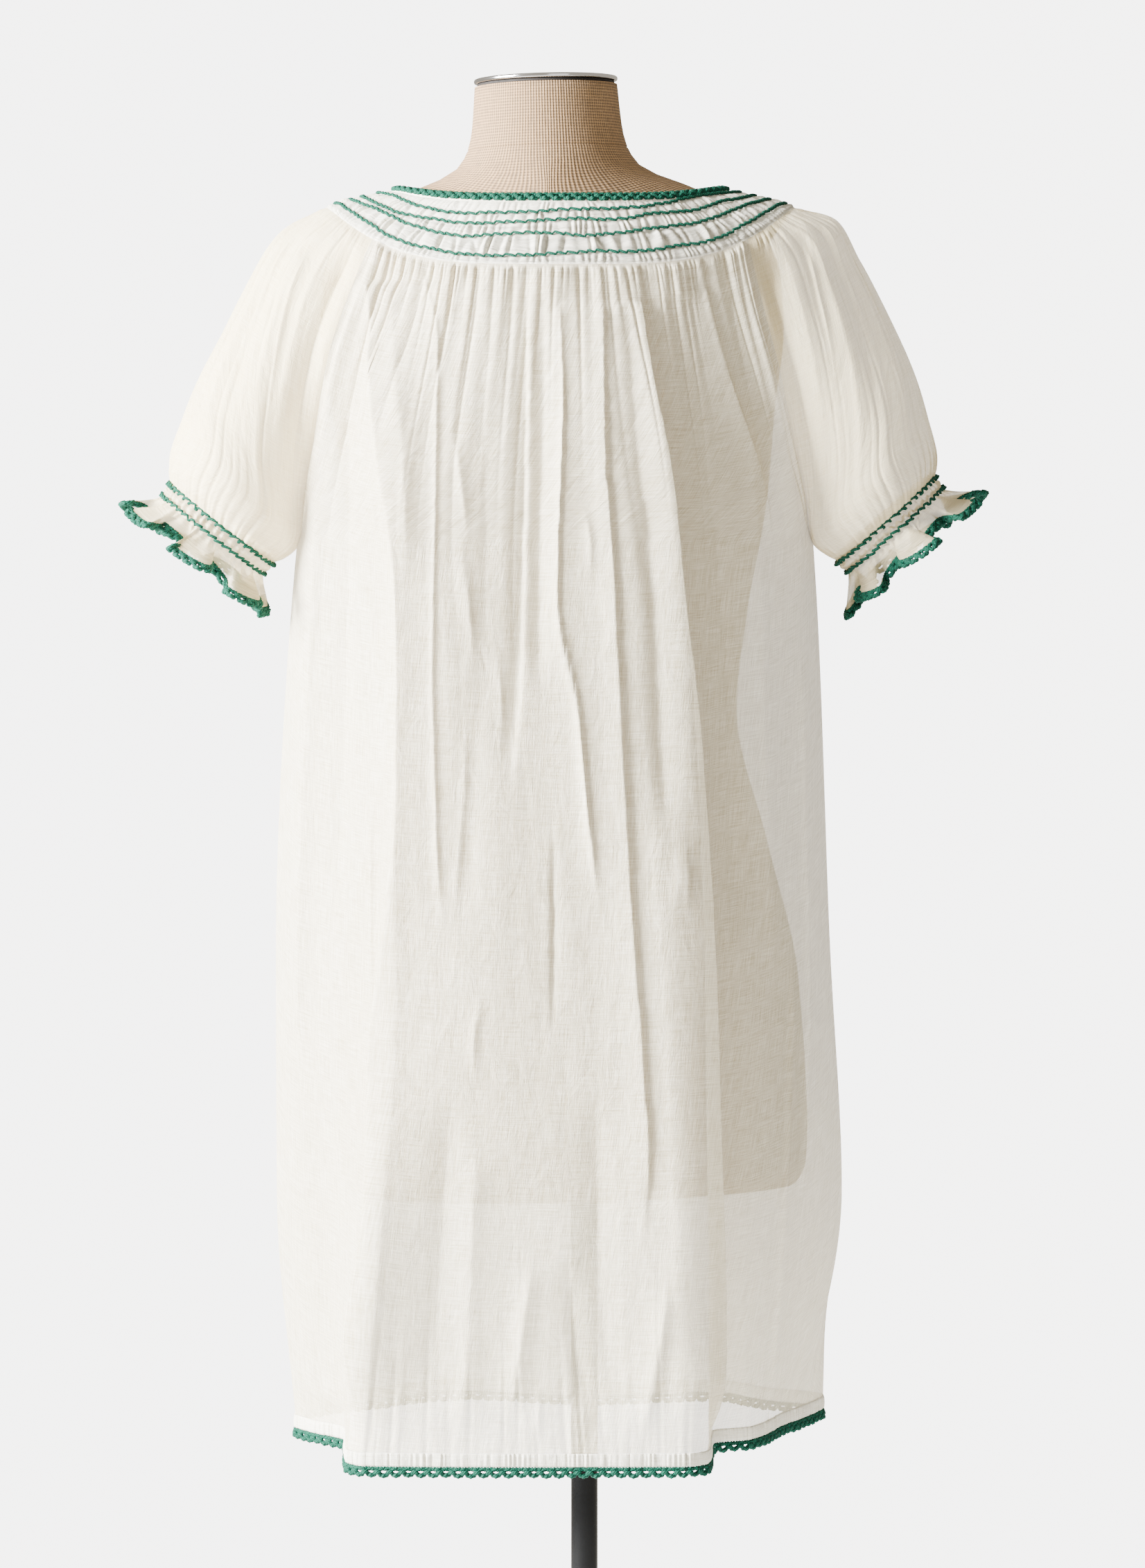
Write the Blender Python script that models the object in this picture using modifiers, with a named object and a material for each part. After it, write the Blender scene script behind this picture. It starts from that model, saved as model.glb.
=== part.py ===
"""Mini dress of thin white cotton on a limbless dress form with a round stand.

Metres, +Z up. The origin is the middle of the base's underside, on the pole's axis.
The back of the dress faces -Y and its front faces +Y, and +X is on the right of someone
who looks at the back. Every cloth piece is a thin wall on a surface worked out from the
sizes below, and hangs clear of the form.
"""

import math

import bpy
import numpy as np

COLLECTION = "mini_dress_on_form"

# Cloth
WALL = 0.0012
BAND_WALL = 0.0020
LACE_WALL = 0.0020
SEAM_PULL = 0.00055
RAGLAN_PULL = 0.00060
YOKE_PULL = 0.00035
CUFF_PULL = 0.00060

# Round yoke: half widths, depths and heights at the neckline and at its lower edge
YOKE_CENTRE_X = -0.018
NECK_HALF_WIDTH = 0.120
NECK_BACK_DEPTH = 0.075
NECK_FRONT_DEPTH = 0.086
NECK_SIDE_Z = 1.415
NECK_BACK_Z = 1.407
NECK_FRONT_Z = 1.374
YOKE_HALF_WIDTH = 0.176
YOKE_BACK_DEPTH = 0.107
YOKE_FRONT_DEPTH = 0.116
YOKE_SIDE_Z = 1.402
YOKE_BACK_Z = 1.355
YOKE_FRONT_Z = 1.320
YOKE_ROUNDING = 1.18
YOKE_DIP = 1.25
BAND_SHARE = 0.13
SMOCKING_RIBS = 96
RIB_HEIGHT = 0.0015
# Rows of points down the smocking: share down the yoke, and how much of the rib height
SMOCKING_ROWS = ((BAND_SHARE, 0.35), (0.42, 1.0), (0.70, 1.0), (1.0, 0.45))
SMOCKING_WALL = 0.0011
BRAID_RADIUS = 0.0027
BRAID_POINTS = 48

# Raglan seams leave the yoke at this angle from the shoulder line
RAGLAN_ANGLE = 38.0

# Sleeves, one row for each section from the yoke to the cuff. Places are outward distance
# from the body's middle line and height: the outer edge, then the seam at the inner edge.
# The arc says how far each side of the outer edge the section runs, in degrees.
BODY_CENTRE_X = -0.022
ARM_LEVEL = 0.88
SLEEVE_COLUMNS = ("along", "outer", "outer_z", "seam", "seam_z", "depth", "arc")
SLEEVE_LEFT = (
    (0.00, 0.1800, 1.4020, 0.1420, 1.3750, 0.107, 38.0),
    (0.15, 0.2080, 1.3820, 0.1540, 1.3350, 0.080, 64.0),
    (0.35, 0.2290, 1.3460, 0.1680, 1.2860, 0.068, 98.0),
    (0.55, 0.2500, 1.3080, 0.1775, 1.2360, 0.065, 128.0),
    (0.75, 0.2690, 1.2700, 0.1865, 1.1870, 0.067, 156.0),
    (0.88, 0.2800, 1.2410, 0.1940, 1.1490, 0.069, 180.0),
    (0.95, 0.2880, 1.2130, 0.2060, 1.1390, 0.063, 180.0),
    (1.00, 0.2880, 1.1940, 0.2130, 1.1360, 0.0475, 180.0),
)
SLEEVE_RIGHT = (
    (0.00, 0.1720, 1.4020, 0.1330, 1.3750, 0.107, 38.0),
    (0.15, 0.2080, 1.3920, 0.1480, 1.3370, 0.080, 64.0),
    (0.35, 0.2290, 1.3610, 0.1640, 1.2880, 0.068, 98.0),
    (0.55, 0.2520, 1.3180, 0.1750, 1.2380, 0.065, 128.0),
    (0.75, 0.2710, 1.2740, 0.1855, 1.1890, 0.067, 156.0),
    (0.88, 0.2800, 1.2430, 0.1940, 1.1510, 0.069, 180.0),
    (0.95, 0.2860, 1.2150, 0.2060, 1.1410, 0.063, 180.0),
    (1.00, 0.2840, 1.1990, 0.2130, 1.1370, 0.0475, 180.0),
)
SLEEVE_JOIN = 0.35
SLEEVE_FOLDS = 6
SLEEVE_FOLD_HEIGHT = 0.0030
CUFF_GATHERS = 12
CUFF_GATHER_HEIGHT = 0.0020
CUFF_GATHER_START = 0.80
CUFF_GATHER_FULL = 0.95
SLEEVE_STEPS = 24
# Sections that the sleeve shares with the panels along the raglan seam, then its own
SEAM_STATIONS = (0.0, 0.09, 0.22, 0.38, 0.55, 0.72, 0.88)
SLEEVE_STATIONS = SEAM_STATIONS + (0.945, 1.0)

# Cuffs: shirring, then a ruffle that flares, then crochet. The reach is measured along
# the sleeve from its end, and the growth is added to the radius there.
CUFF_COLUMNS = ("reach", "growth", "rib", "wave")
CUFF_PROFILE = (
    (0.0000, 0.0000, 0.0004, 0.0000),
    (0.0080, -0.0012, 0.0009, 0.0000),
    (0.0150, -0.0006, 0.0007, 0.0004),
    (0.0210, 0.0050, 0.0000, 0.0038),
    (0.0275, 0.0108, 0.0000, 0.0066),
    (0.0345, 0.0145, 0.0000, 0.0082),
)
CUFF_SHIRRING = 24
RUFFLE_WAVES = 8
RUFFLE_DRIFT = 0.5
CUFF_STEPS = 48

# Skirt of the dress, one row for each line down the cloth, from the left side seam to the
# right one. The share is the place of the line across the panel, the angle is where it
# leaves the yoke, and then come its plan places at the underarm, waist, thigh and hem.
LEVEL_HEIGHTS = (1.149, 0.850, 0.660, 0.4965)
PANEL_COLUMNS = (
    "share", "angle", "arm_x", "arm_y", "waist_x", "waist_y",
    "thigh_x", "thigh_y", "hem_x", "hem_y",
)
BACK_PANEL = (
    (0.00, -142.0, -0.216, 0.000, -0.232, 0.004, -0.231, 0.000, -0.217, -0.004),
    (0.05, -138.5, -0.208, -0.035, -0.222, -0.022, -0.216, -0.024, -0.199, -0.030),
    (0.11, -134.0, -0.189, -0.062, -0.196, -0.052, -0.186, -0.054, -0.177, -0.058),
    (0.25, -124.5, -0.147, -0.100, -0.146, -0.110, -0.153, -0.134, -0.172, -0.146),
    (0.29, -121.0, -0.136, -0.108, -0.131, -0.126, -0.142, -0.148, -0.159, -0.163),
    (0.45, -102.0, -0.070, -0.126, -0.055, -0.146, -0.050, -0.158, -0.045, -0.168),
    (0.62, -80.0, 0.030, -0.125, 0.055, -0.143, 0.064, -0.156, 0.070, -0.166),
    (0.66, -74.0, 0.060, -0.116, 0.082, -0.128, 0.086, -0.140, 0.089, -0.151),
    (0.79, -60.0, 0.098, -0.098, 0.097, -0.098, 0.095, -0.093, 0.094, -0.072),
    (0.85, -54.0, 0.124, -0.078, 0.124, -0.080, 0.124, -0.074, 0.123, -0.054),
    (0.95, -43.0, 0.160, -0.036, 0.168, -0.022, 0.174, -0.008, 0.151, 0.010),
    (1.00, -38.0, 0.172, 0.000, 0.185, 0.010, 0.195, 0.030, 0.167, 0.040),
)
FRONT_PANEL = (
    (0.00, 38.0, 0.172, 0.000, 0.185, 0.010, 0.195, 0.030, 0.167, 0.040),
    (0.10, 45.0, 0.163, 0.045, 0.180, 0.050, 0.186, 0.072, 0.183, 0.085),
    (0.22, 57.0, 0.118, 0.084, 0.132, 0.092, 0.138, 0.106, 0.140, 0.118),
    (0.36, 72.0, 0.068, 0.122, 0.082, 0.132, 0.090, 0.142, 0.096, 0.156),
    (0.50, 88.0, 0.000, 0.128, 0.004, 0.126, 0.004, 0.130, 0.004, 0.138),
    (0.64, 104.0, -0.078, 0.127, -0.084, 0.138, -0.088, 0.150, -0.090, 0.162),
    (0.78, 121.0, -0.146, 0.094, -0.156, 0.100, -0.160, 0.108, -0.164, 0.118),
    (0.90, 135.0, -0.202, 0.052, -0.218, 0.062, -0.216, 0.066, -0.212, 0.070),
    (1.00, 142.0, -0.216, 0.000, -0.232, 0.004, -0.231, 0.000, -0.217, -0.004),
)
SEAM_REACH = 0.16
SEAM_FLAT = 0.03
BACK_STEPS = 52
FRONT_STEPS = 32
SKIRT_LEVELS = (1.5, 2.0, 2.5, 3.0, 3.5, 4.0)

# Folds down each panel: place across it, half width across it, height out of the cloth,
# and the levels where it starts and ends (0 yoke, 1 underarm, 2 waist, 3 thigh, 4 hem)
FOLD_COLUMNS = ("share", "half_width", "height", "start", "end")
BACK_FOLDS = (
    (0.160, 0.030, -0.0040, 0.1, 3.4),
    (0.330, 0.024, 0.0035, 0.1, 2.3),
    (0.375, 0.022, -0.0050, 0.0, 1.9),
    (0.415, 0.020, 0.0035, 0.2, 2.6),
    (0.465, 0.024, -0.0050, 0.0, 2.2),
    (0.510, 0.022, 0.0045, 0.1, 3.3),
    (0.555, 0.020, -0.0050, 0.3, 2.4),
    (0.595, 0.022, 0.0040, 0.0, 4.0),
    (0.640, 0.020, -0.0030, 0.1, 1.6),
    (0.720, 0.030, 0.0040, 0.0, 1.8),
    (0.775, 0.026, -0.0040, 0.1, 2.6),
    (0.890, 0.030, 0.0040, 0.3, 4.0),
)
FRONT_FOLDS = (
    (0.160, 0.045, -0.0040, 0.1, 2.8),
    (0.290, 0.040, 0.0040, 0.0, 3.2),
    (0.420, 0.040, -0.0045, 0.1, 2.2),
    (0.470, 0.036, 0.0040, 0.2, 3.4),
    (0.570, 0.040, -0.0040, 0.0, 2.4),
    (0.700, 0.040, 0.0045, 0.1, 3.0),
    (0.840, 0.045, -0.0040, 0.0, 2.6),
)
FOLD_RISE = 0.3
FOLD_FALL = 0.8
GATHER_HEIGHT = 0.0013
GATHER_FADE = 0.22

# Hem: casing over crochet edging
HEM_BAND_HEIGHT = 0.0100
HEM_EDGING_HEIGHT = 0.0078
HEM_STEPS = (52, 36)

# Dress form, one row for each level before it is leaned to the left on its upright pole.
# The roundness is the power of each section's oval: 2 is an ellipse and 1 a diamond.
FORM_COLUMNS = ("height", "half_width", "back", "front", "roundness")
FORM_SECTIONS = (
    (1.4940, 0.0536, 0.0536, 0.0536, 2.00),
    (1.4600, 0.0568, 0.0560, 0.0560, 2.00),
    (1.4370, 0.0650, 0.0610, 0.0580, 1.90),
    (1.4250, 0.0830, 0.0640, 0.0575, 1.65),
    (1.4175, 0.1030, 0.0660, 0.0575, 1.50),
    (1.4076, 0.1240, 0.0690, 0.0580, 1.45),
    (1.3930, 0.1440, 0.0730, 0.0610, 1.50),
    (1.3780, 0.1600, 0.0790, 0.0680, 1.60),
    (1.3500, 0.1720, 0.0870, 0.0820, 1.80),
    (1.3100, 0.1740, 0.0930, 0.0970, 2.00),
    (1.2500, 0.1660, 0.0960, 0.1080, 2.00),
    (1.1800, 0.1580, 0.0940, 0.1080, 2.00),
    (1.0900, 0.1400, 0.0850, 0.0970, 2.00),
    (1.0200, 0.1310, 0.0790, 0.0930, 2.00),
    (0.9200, 0.1520, 0.0900, 0.0980, 2.00),
    (0.8200, 0.1720, 0.0970, 0.1010, 2.00),
    (0.7200, 0.1760, 0.0950, 0.0970, 2.00),
    (0.6800, 0.1740, 0.0920, 0.0930, 2.00),
    (0.6660, 0.1660, 0.0860, 0.0870, 2.00),
)
FORM_STEPS = 32
FORM_FOOT_X = -0.0072
FORM_LEAN = math.radians(1.5)

# Neck cap: a thin dark gap ring under a chrome-rimmed disc
CAP_RADIUS = 0.0540
CAP_GAP_RADIUS = 0.0515
CAP_GAP_HEIGHT = 0.0020
CAP_HEIGHT = 0.0034
CAP_EDGE = 0.0010
TOUCH = 0.0003

# Stand
POLE_RADIUS = 0.0100
BASE_RADIUS = 0.1900
BASE_HEIGHT = 0.0100
BASE_EDGE = 0.0030
COLLAR_RADIUS = 0.0220
COLLAR_HEIGHT = 0.0250
COLLAR_EDGE = 0.0020

COLOURS = {
    "voile": ((0.88, 0.88, 0.85, 1.0), 0.85, 0.0),
    "sleeve_voile": ((0.90, 0.88, 0.80, 1.0), 0.85, 0.0),
    "green_cotton": ((0.012, 0.190, 0.130, 1.0), 0.80, 0.0),
    "linen": ((0.55, 0.42, 0.29, 1.0), 0.90, 0.0),
    "dark_gap": ((0.01, 0.01, 0.01, 1.0), 0.60, 0.0),
    "chrome": ((0.80, 0.80, 0.82, 1.0), 0.12, 1.0),
    "black_paint": ((0.008, 0.009, 0.011, 1.0), 0.22, 0.0),
}


def clear_scene():
    """Removes every object of the open scene."""
    for old in list(bpy.data.objects):
        bpy.data.objects.remove(old, do_unlink=True)


def collection():
    """The collection that holds the object's pieces."""
    found = bpy.data.collections.get(COLLECTION)
    if found is None:
        found = bpy.data.collections.new(COLLECTION)
        bpy.context.scene.collection.children.link(found)
    return found


def material(name):
    """A Principled material of the named finish."""
    found = bpy.data.materials.get(name)
    if found is not None:
        return found
    colour, roughness, metallic = COLOURS[name]
    found = bpy.data.materials.new(name)
    found.use_nodes = True
    shader = found.node_tree.nodes["Principled BSDF"]
    shader.inputs["Base Color"].default_value = colour
    shader.inputs["Roughness"].default_value = roughness
    shader.inputs["Metallic"].default_value = metallic
    return found


def add_object(name, data, finish):
    """Puts mesh or curve data into the collection under its own name."""
    piece = bpy.data.objects.new(name, data)
    data.materials.append(material(finish))
    collection().objects.link(piece)
    return piece


def slopes(places, values):
    """Slopes at the rows that keep a cubic curve from overshooting them.

    Where two neighbouring rises have the same sign the slope is their harmonic mean, and
    where they differ it is zero. places has one number a row, values one row of any shape.
    """
    step = np.diff(places).reshape((-1,) + (1,) * (values.ndim - 1))
    rise = np.diff(values, axis=0) / step
    before, after = rise[:-1], rise[1:]
    same = before * after > 0
    total = np.where(same, before + after, 1.0)
    middle = np.where(same, 2 * before * after / total, 0.0)
    return np.concatenate([rise[:1], middle, rise[-1:]])


def smooth_between(places, values, wanted):
    """Values at the wanted places, on a cubic curve through the given rows."""
    places = np.asarray(places, float)
    values = np.asarray(values, float)
    wanted = np.asarray(wanted, float)
    lean = slopes(places, values)
    row = np.clip(np.searchsorted(places, wanted, side="right") - 1, 0, len(places) - 2)
    width = places[row + 1] - places[row]
    part = np.clip((wanted - places[row]) / width, 0.0, 1.0)
    spread = part.shape + (1,) * (values.ndim - 1)
    part = part.reshape(spread)
    width = width.reshape(spread)
    start = (1 + 2 * part) * (1 - part) ** 2
    end = part**2 * (3 - 2 * part)
    leave = part * (1 - part) ** 2 * width
    arrive = part**2 * (part - 1) * width
    low, high = values[row], values[row + 1]
    return start * low + end * high + leave * lean[row] + arrive * lean[row + 1]


def table_value(rows, columns, name, wanted):
    """One named column of a table, at places along its first column."""
    data = np.array(rows)
    return smooth_between(data[:, 0], data[:, columns.index(name)], wanted)


def smoothstep(value):
    """Rises from 0 to 1 with level ends."""
    value = np.clip(value, 0.0, 1.0)
    return value**2 * (3 - 2 * value)


def yoke_point(angle, share):
    """A point of the yoke: an oval ring whose height dips at the back and the front.

    angle runs round from +X in radians, share runs from 0 at the neckline to 1 at the
    lower edge. Half width, depth and height each go from their neckline value to their
    lower one, and height does so a little later, which rounds the yoke over the shoulder.
    """
    angle = np.asarray(angle, float)
    late = np.asarray(share, float) ** YOKE_ROUNDING
    width = NECK_HALF_WIDTH + (YOKE_HALF_WIDTH - NECK_HALF_WIDTH) * share
    back = NECK_BACK_DEPTH + (YOKE_BACK_DEPTH - NECK_BACK_DEPTH) * share
    front = NECK_FRONT_DEPTH + (YOKE_FRONT_DEPTH - NECK_FRONT_DEPTH) * share
    side_z = NECK_SIDE_Z + (YOKE_SIDE_Z - NECK_SIDE_Z) * late
    back_z = NECK_BACK_Z + (YOKE_BACK_Z - NECK_BACK_Z) * late
    front_z = NECK_FRONT_Z + (YOKE_FRONT_Z - NECK_FRONT_Z) * late
    sine = np.sin(angle)
    dip = smoothstep(np.abs(sine) ** YOKE_DIP)
    behind = sine < 0
    x = YOKE_CENTRE_X + width * np.cos(angle)
    y = np.where(behind, back, front) * sine
    z = side_z + (np.where(behind, back_z, front_z) - side_z) * dip
    return np.stack([x, y, z], axis=-1)


def sleeve_point(side, along, across):
    """A point of a sleeve: arcs of ovals that fan out from the yoke to the cuff.

    side is -1 for the left sleeve and 1 for the right. along runs from 0 at the yoke to 1
    at the cuff. across runs from 0 at the back seam, over the outer edge, to 1 at the
    front seam. Each oval passes the outer edge and the seam of its table row, so its
    middle is found from both. Near the yoke the sections are drawn onto the yoke's edge.
    """
    rows = SLEEVE_LEFT if side < 0 else SLEEVE_RIGHT
    along, across = np.broadcast_arrays(np.asarray(along, float), np.asarray(across, float))

    def section(place):
        got = {
            name: table_value(rows, SLEEVE_COLUMNS, name, place)
            for name in SLEEVE_COLUMNS[1:]
        }
        arc = np.radians(got["arc"])
        turn = (2 * across - 1) * arc
        share = np.cos(arc)
        middle = (got["seam"] - got["outer"] * share) / (1 - share)
        middle_z = (got["seam_z"] - got["outer_z"] * share) / (1 - share)
        out = middle + (got["outer"] - middle) * np.cos(turn)
        z = middle_z + (got["outer_z"] - middle_z) * np.cos(turn)
        y = got["depth"] * np.sin(turn)
        return np.stack([BODY_CENTRE_X + side * out, y, z], axis=-1)

    turn = (2 * across - 1) * math.radians(RAGLAN_ANGLE)
    angle = turn if side > 0 else math.pi - turn
    join = np.clip(1 - along / SLEEVE_JOIN, 0.0, 1.0) ** 2
    offset = yoke_point(angle, 1.0) - section(np.zeros_like(along))
    return section(along) + offset * join[..., None]


def panel_point(rows, level, share):
    """A point of the back or the front: plan lines carried down from the yoke to the hem.

    level runs 0 yoke, 1 underarm, 2 waist, 3 thigh, 4 hem. Each line across the panel is a
    smooth curve through its table's plan places, and each line down it is a smooth curve
    through the levels. Above the underarm the sides are drawn onto the raglan seams.
    """
    level, share = np.broadcast_arrays(np.asarray(level, float), np.asarray(share, float))
    flat_level = level.ravel()
    flat_share = share.ravel()
    angle = np.radians(table_value(rows, PANEL_COLUMNS, "angle", flat_share))
    stack = [yoke_point(angle, 1.0)]
    for name, height in zip(("arm", "waist", "thigh", "hem"), LEVEL_HEIGHTS):
        x = table_value(rows, PANEL_COLUMNS, name + "_x", flat_share)
        y = table_value(rows, PANEL_COLUMNS, name + "_y", flat_share)
        stack.append(np.stack([x, y, np.full_like(x, height)], axis=-1))
    stack = np.array(stack)
    lean = slopes(np.arange(5.0), stack)
    row = np.clip(flat_level.astype(int), 0, 3)
    part = (flat_level - row)[:, None]
    which = np.arange(len(row))
    start = (1 + 2 * part) * (1 - part) ** 2
    end = part**2 * (3 - 2 * part)
    leave = part * (1 - part) ** 2
    arrive = part**2 * (part - 1)
    points = start * stack[row, which] + end * stack[row + 1, which]
    points = points + leave * lean[row, which] + arrive * lean[row + 1, which]
    return points.reshape(level.shape + (3,))


def normals(points, closed):
    """Unit normals of a grid of points, from its lines down and across."""
    down = np.gradient(points, axis=0)
    if closed:
        across = (np.roll(points, -1, axis=1) - np.roll(points, 1, axis=1)) / 2
    else:
        across = np.gradient(points, axis=1)
    out = np.cross(across, down)
    return out / np.linalg.norm(out, axis=-1, keepdims=True)


def draw_in(points, first, last, left, right):
    """Moves each edge of a grid inwards by its own pull, so that seams stay open."""

    def towards(edge, inner, pull):
        way = inner - edge
        return edge + way / np.linalg.norm(way, axis=-1, keepdims=True) * pull

    points = points.copy()
    points[0] = towards(points[0], points[1], first)
    points[-1] = towards(points[-1], points[-2], last)
    if left is not None:
        points[:, 0] = towards(points[:, 0], points[:, 1], np.reshape(left, (-1, 1)))
        points[:, -1] = towards(points[:, -1], points[:, -2], np.reshape(right, (-1, 1)))
    return points


def grid_faces(rows, columns, closed):
    """Four-sided faces of a grid, row by row."""
    steps = columns if closed else columns - 1
    row, column = np.meshgrid(np.arange(rows - 1), np.arange(steps), indexing="ij")
    here = row * columns + column
    beside = row * columns + (column + 1) % columns
    faces = np.stack([here, beside, beside + columns, here + columns], axis=-1)
    return faces.reshape(-1, 4)


def cloth(name, points, wall, finish, closed=False, wall_side=0):
    """An open surface on a grid of points, thickened into a wall.

    wall_side 0 thickens it evenly to both sides, 1 along its normals and -1 against them.
    """
    rows, columns = points.shape[:2]
    mesh = bpy.data.meshes.new(name)
    faces = grid_faces(rows, columns, closed)
    mesh.from_pydata(points.reshape(-1, 3).tolist(), [], faces.tolist())
    mesh.update()
    piece = add_object(name, mesh, finish)
    thicken = piece.modifiers.new("wall", "SOLIDIFY")
    thicken.thickness = wall
    thicken.offset = wall_side
    return piece


def ringed_wall(name, outer, inner, finish):
    """A closed ring wall between an uneven outer grid and a plain inner one.

    The inner grid has two rows, the edges, and as many columns as the outer one.
    """
    columns = outer.shape[1]
    vertices = np.concatenate([outer.reshape(-1, 3), inner.reshape(-1, 3)])
    start = outer.shape[0] * columns
    outside = grid_faces(outer.shape[0], columns, True)[:, ::-1]
    inside = grid_faces(2, columns, True) + start
    here = np.arange(columns)
    beside = (here + 1) % columns
    top = np.stack([here, beside, start + beside, start + here], axis=-1)
    low = (outer.shape[0] - 1) * columns
    low_inner = start + columns
    bottom = np.stack(
        [low + beside, low + here, low_inner + here, low_inner + beside], axis=-1
    )
    faces = np.concatenate([outside, inside, top, bottom])
    mesh = bpy.data.meshes.new(name)
    mesh.from_pydata(vertices.tolist(), [], faces.tolist())
    mesh.update()
    return add_object(name, mesh, finish)


def make_yoke():
    """Smocked yoke: upright ribs raised over a plain inner wall."""
    columns = SMOCKING_RIBS * 2
    angle = np.arange(columns) * 2 * math.pi / columns
    share, height = np.array(SMOCKING_ROWS).T
    grid = yoke_point(angle[None, :], share[:, None])
    grid = draw_in(grid, SEAM_PULL, YOKE_PULL, None, None)
    way = -normals(grid, True)
    rib = (np.arange(columns) % 2)[None, :] * height[:, None] * RIB_HEIGHT
    outer = grid + way * (SMOCKING_WALL / 2 + rib)[..., None]
    inner = (grid - way * SMOCKING_WALL / 2)[[0, -1]]
    ringed_wall("smocked_yoke", outer, inner, "voile")


def make_neck():
    """Smooth band above the smocking, and the round crochet braid on its edge."""
    angle = np.arange(BRAID_POINTS) * 2 * math.pi / BRAID_POINTS
    grid = yoke_point(angle[None, :], np.array([[0.0], [BAND_SHARE]]))
    grid = draw_in(grid, SEAM_PULL, SEAM_PULL, None, None)
    cloth("neck_band", grid, BAND_WALL, "voile", closed=True)
    edge = yoke_point(angle, 0.0)
    up = edge - yoke_point(angle, BAND_SHARE)
    up = up / np.linalg.norm(up, axis=-1, keepdims=True)
    path = edge + up * (BRAID_RADIUS + TOUCH)
    curve = bpy.data.curves.new("neck_braid", "CURVE")
    curve.dimensions = "3D"
    curve.bevel_depth = BRAID_RADIUS
    curve.bevel_resolution = 1
    spline = curve.splines.new("POLY")
    spline.points.add(len(path) - 1)
    spline.points.foreach_set("co", np.c_[path, np.ones(len(path))].ravel())
    spline.use_cyclic_u = True
    add_object("neck_braid", curve, "green_cotton")


def make_sleeve(name, side):
    """One sleeve, with folds that leave the yoke and gathers that run into the cuff."""
    along = np.array(SLEEVE_STATIONS)[:, None]
    across = np.linspace(0.0, 1.0, SLEEVE_STEPS + 1)[None, :]
    grid = sleeve_point(side, along, across)
    edge = np.sqrt(np.sin(math.pi * across))
    fold = np.sin(2 * math.pi * SLEEVE_FOLDS * across) * np.sqrt(np.sin(math.pi * along))
    gather = np.cos(2 * math.pi * CUFF_GATHERS * across)
    run = CUFF_GATHER_FULL - CUFF_GATHER_START
    gather = gather * smoothstep((along - CUFF_GATHER_START) / run)
    gather = gather * smoothstep((1 - along) / (1 - CUFF_GATHER_FULL))
    height = SLEEVE_FOLD_HEIGHT * fold + CUFF_GATHER_HEIGHT * gather
    grid = grid + normals(grid, False) * (height * edge)[..., None]
    pull = np.where(along[:, 0] <= ARM_LEVEL, RAGLAN_PULL, SEAM_PULL)
    grid = draw_in(grid, YOKE_PULL, CUFF_PULL, pull, pull)
    cloth(name, grid, WALL, "sleeve_voile", wall_side=side)


def cuff_frame(side):
    """Middle, outward way, sleeve's way and radius of the sleeve's end."""
    outer = sleeve_point(side, 1.0, 0.5)
    seam = sleeve_point(side, 1.0, 0.0)
    middle = (outer + seam) / 2
    radius = float(np.linalg.norm(outer - seam)) / 2
    out = (outer - middle) / radius
    way = np.array([side * out[2], 0.0, -side * out[0]])
    return middle, out, way, radius


def cuff_point(side, angle, reach):
    """A point of a cuff: rings along the sleeve's way, ribbed by the shirring, then waved.

    angle is 0 at the outer edge and grows towards the front, reach is the distance past
    the sleeve's end.
    """
    middle, out, way, radius = cuff_frame(side)
    got = {
        name: table_value(CUFF_PROFILE, CUFF_COLUMNS, name, reach)
        for name in CUFF_COLUMNS[1:]
    }
    depth = np.array([0.0, 1.0, 0.0])
    rib = got["rib"] * np.cos(CUFF_SHIRRING * angle)
    uneven = RUFFLE_DRIFT * np.sin(2 * angle)
    wave = got["wave"] * np.cos(RUFFLE_WAVES * angle + uneven)
    size = radius + got["growth"] + rib + wave
    ring = out * np.cos(angle)[..., None] + depth * np.sin(angle)[..., None]
    return middle + ring * size[..., None] + way * np.asarray(reach)[..., None]


def make_cuff(side_name, side):
    """Shirred cuff with its ruffle, and the crochet edging beyond it."""
    angle = np.arange(CUFF_STEPS) * 2 * math.pi / CUFF_STEPS
    reach = np.array(CUFF_PROFILE)[:-1, 0]
    grid_angle, grid_reach = np.meshgrid(angle, reach)
    grid = cuff_point(side, grid_angle, grid_reach)
    grid = draw_in(grid, CUFF_PULL, SEAM_PULL, None, None)
    cloth("cuff_" + side_name, grid, WALL, "sleeve_voile", closed=True)
    reach = np.array(CUFF_PROFILE)[-2:, 0]
    grid_angle, grid_reach = np.meshgrid(angle, reach)
    grid = cuff_point(side, grid_angle, grid_reach)
    grid = draw_in(grid, YOKE_PULL, 0.0, None, None)
    cloth("cuff_edging_" + side_name, grid, LACE_WALL, "green_cotton", closed=True)


def fold_height(folds, level, share):
    """How far the folds raise the cloth: a rounded ridge or trough for each table row."""
    total = np.zeros(np.broadcast(level, share).shape)
    for row in folds:
        fold = dict(zip(FOLD_COLUMNS, row))
        across = 1 - np.abs(share - fold["share"]) / fold["half_width"]
        down = smoothstep((level - fold["start"]) / FOLD_RISE)
        down = down * smoothstep((fold["end"] - level) / FOLD_FALL)
        total = total + fold["height"] * smoothstep(across) * down
    return total


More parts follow.
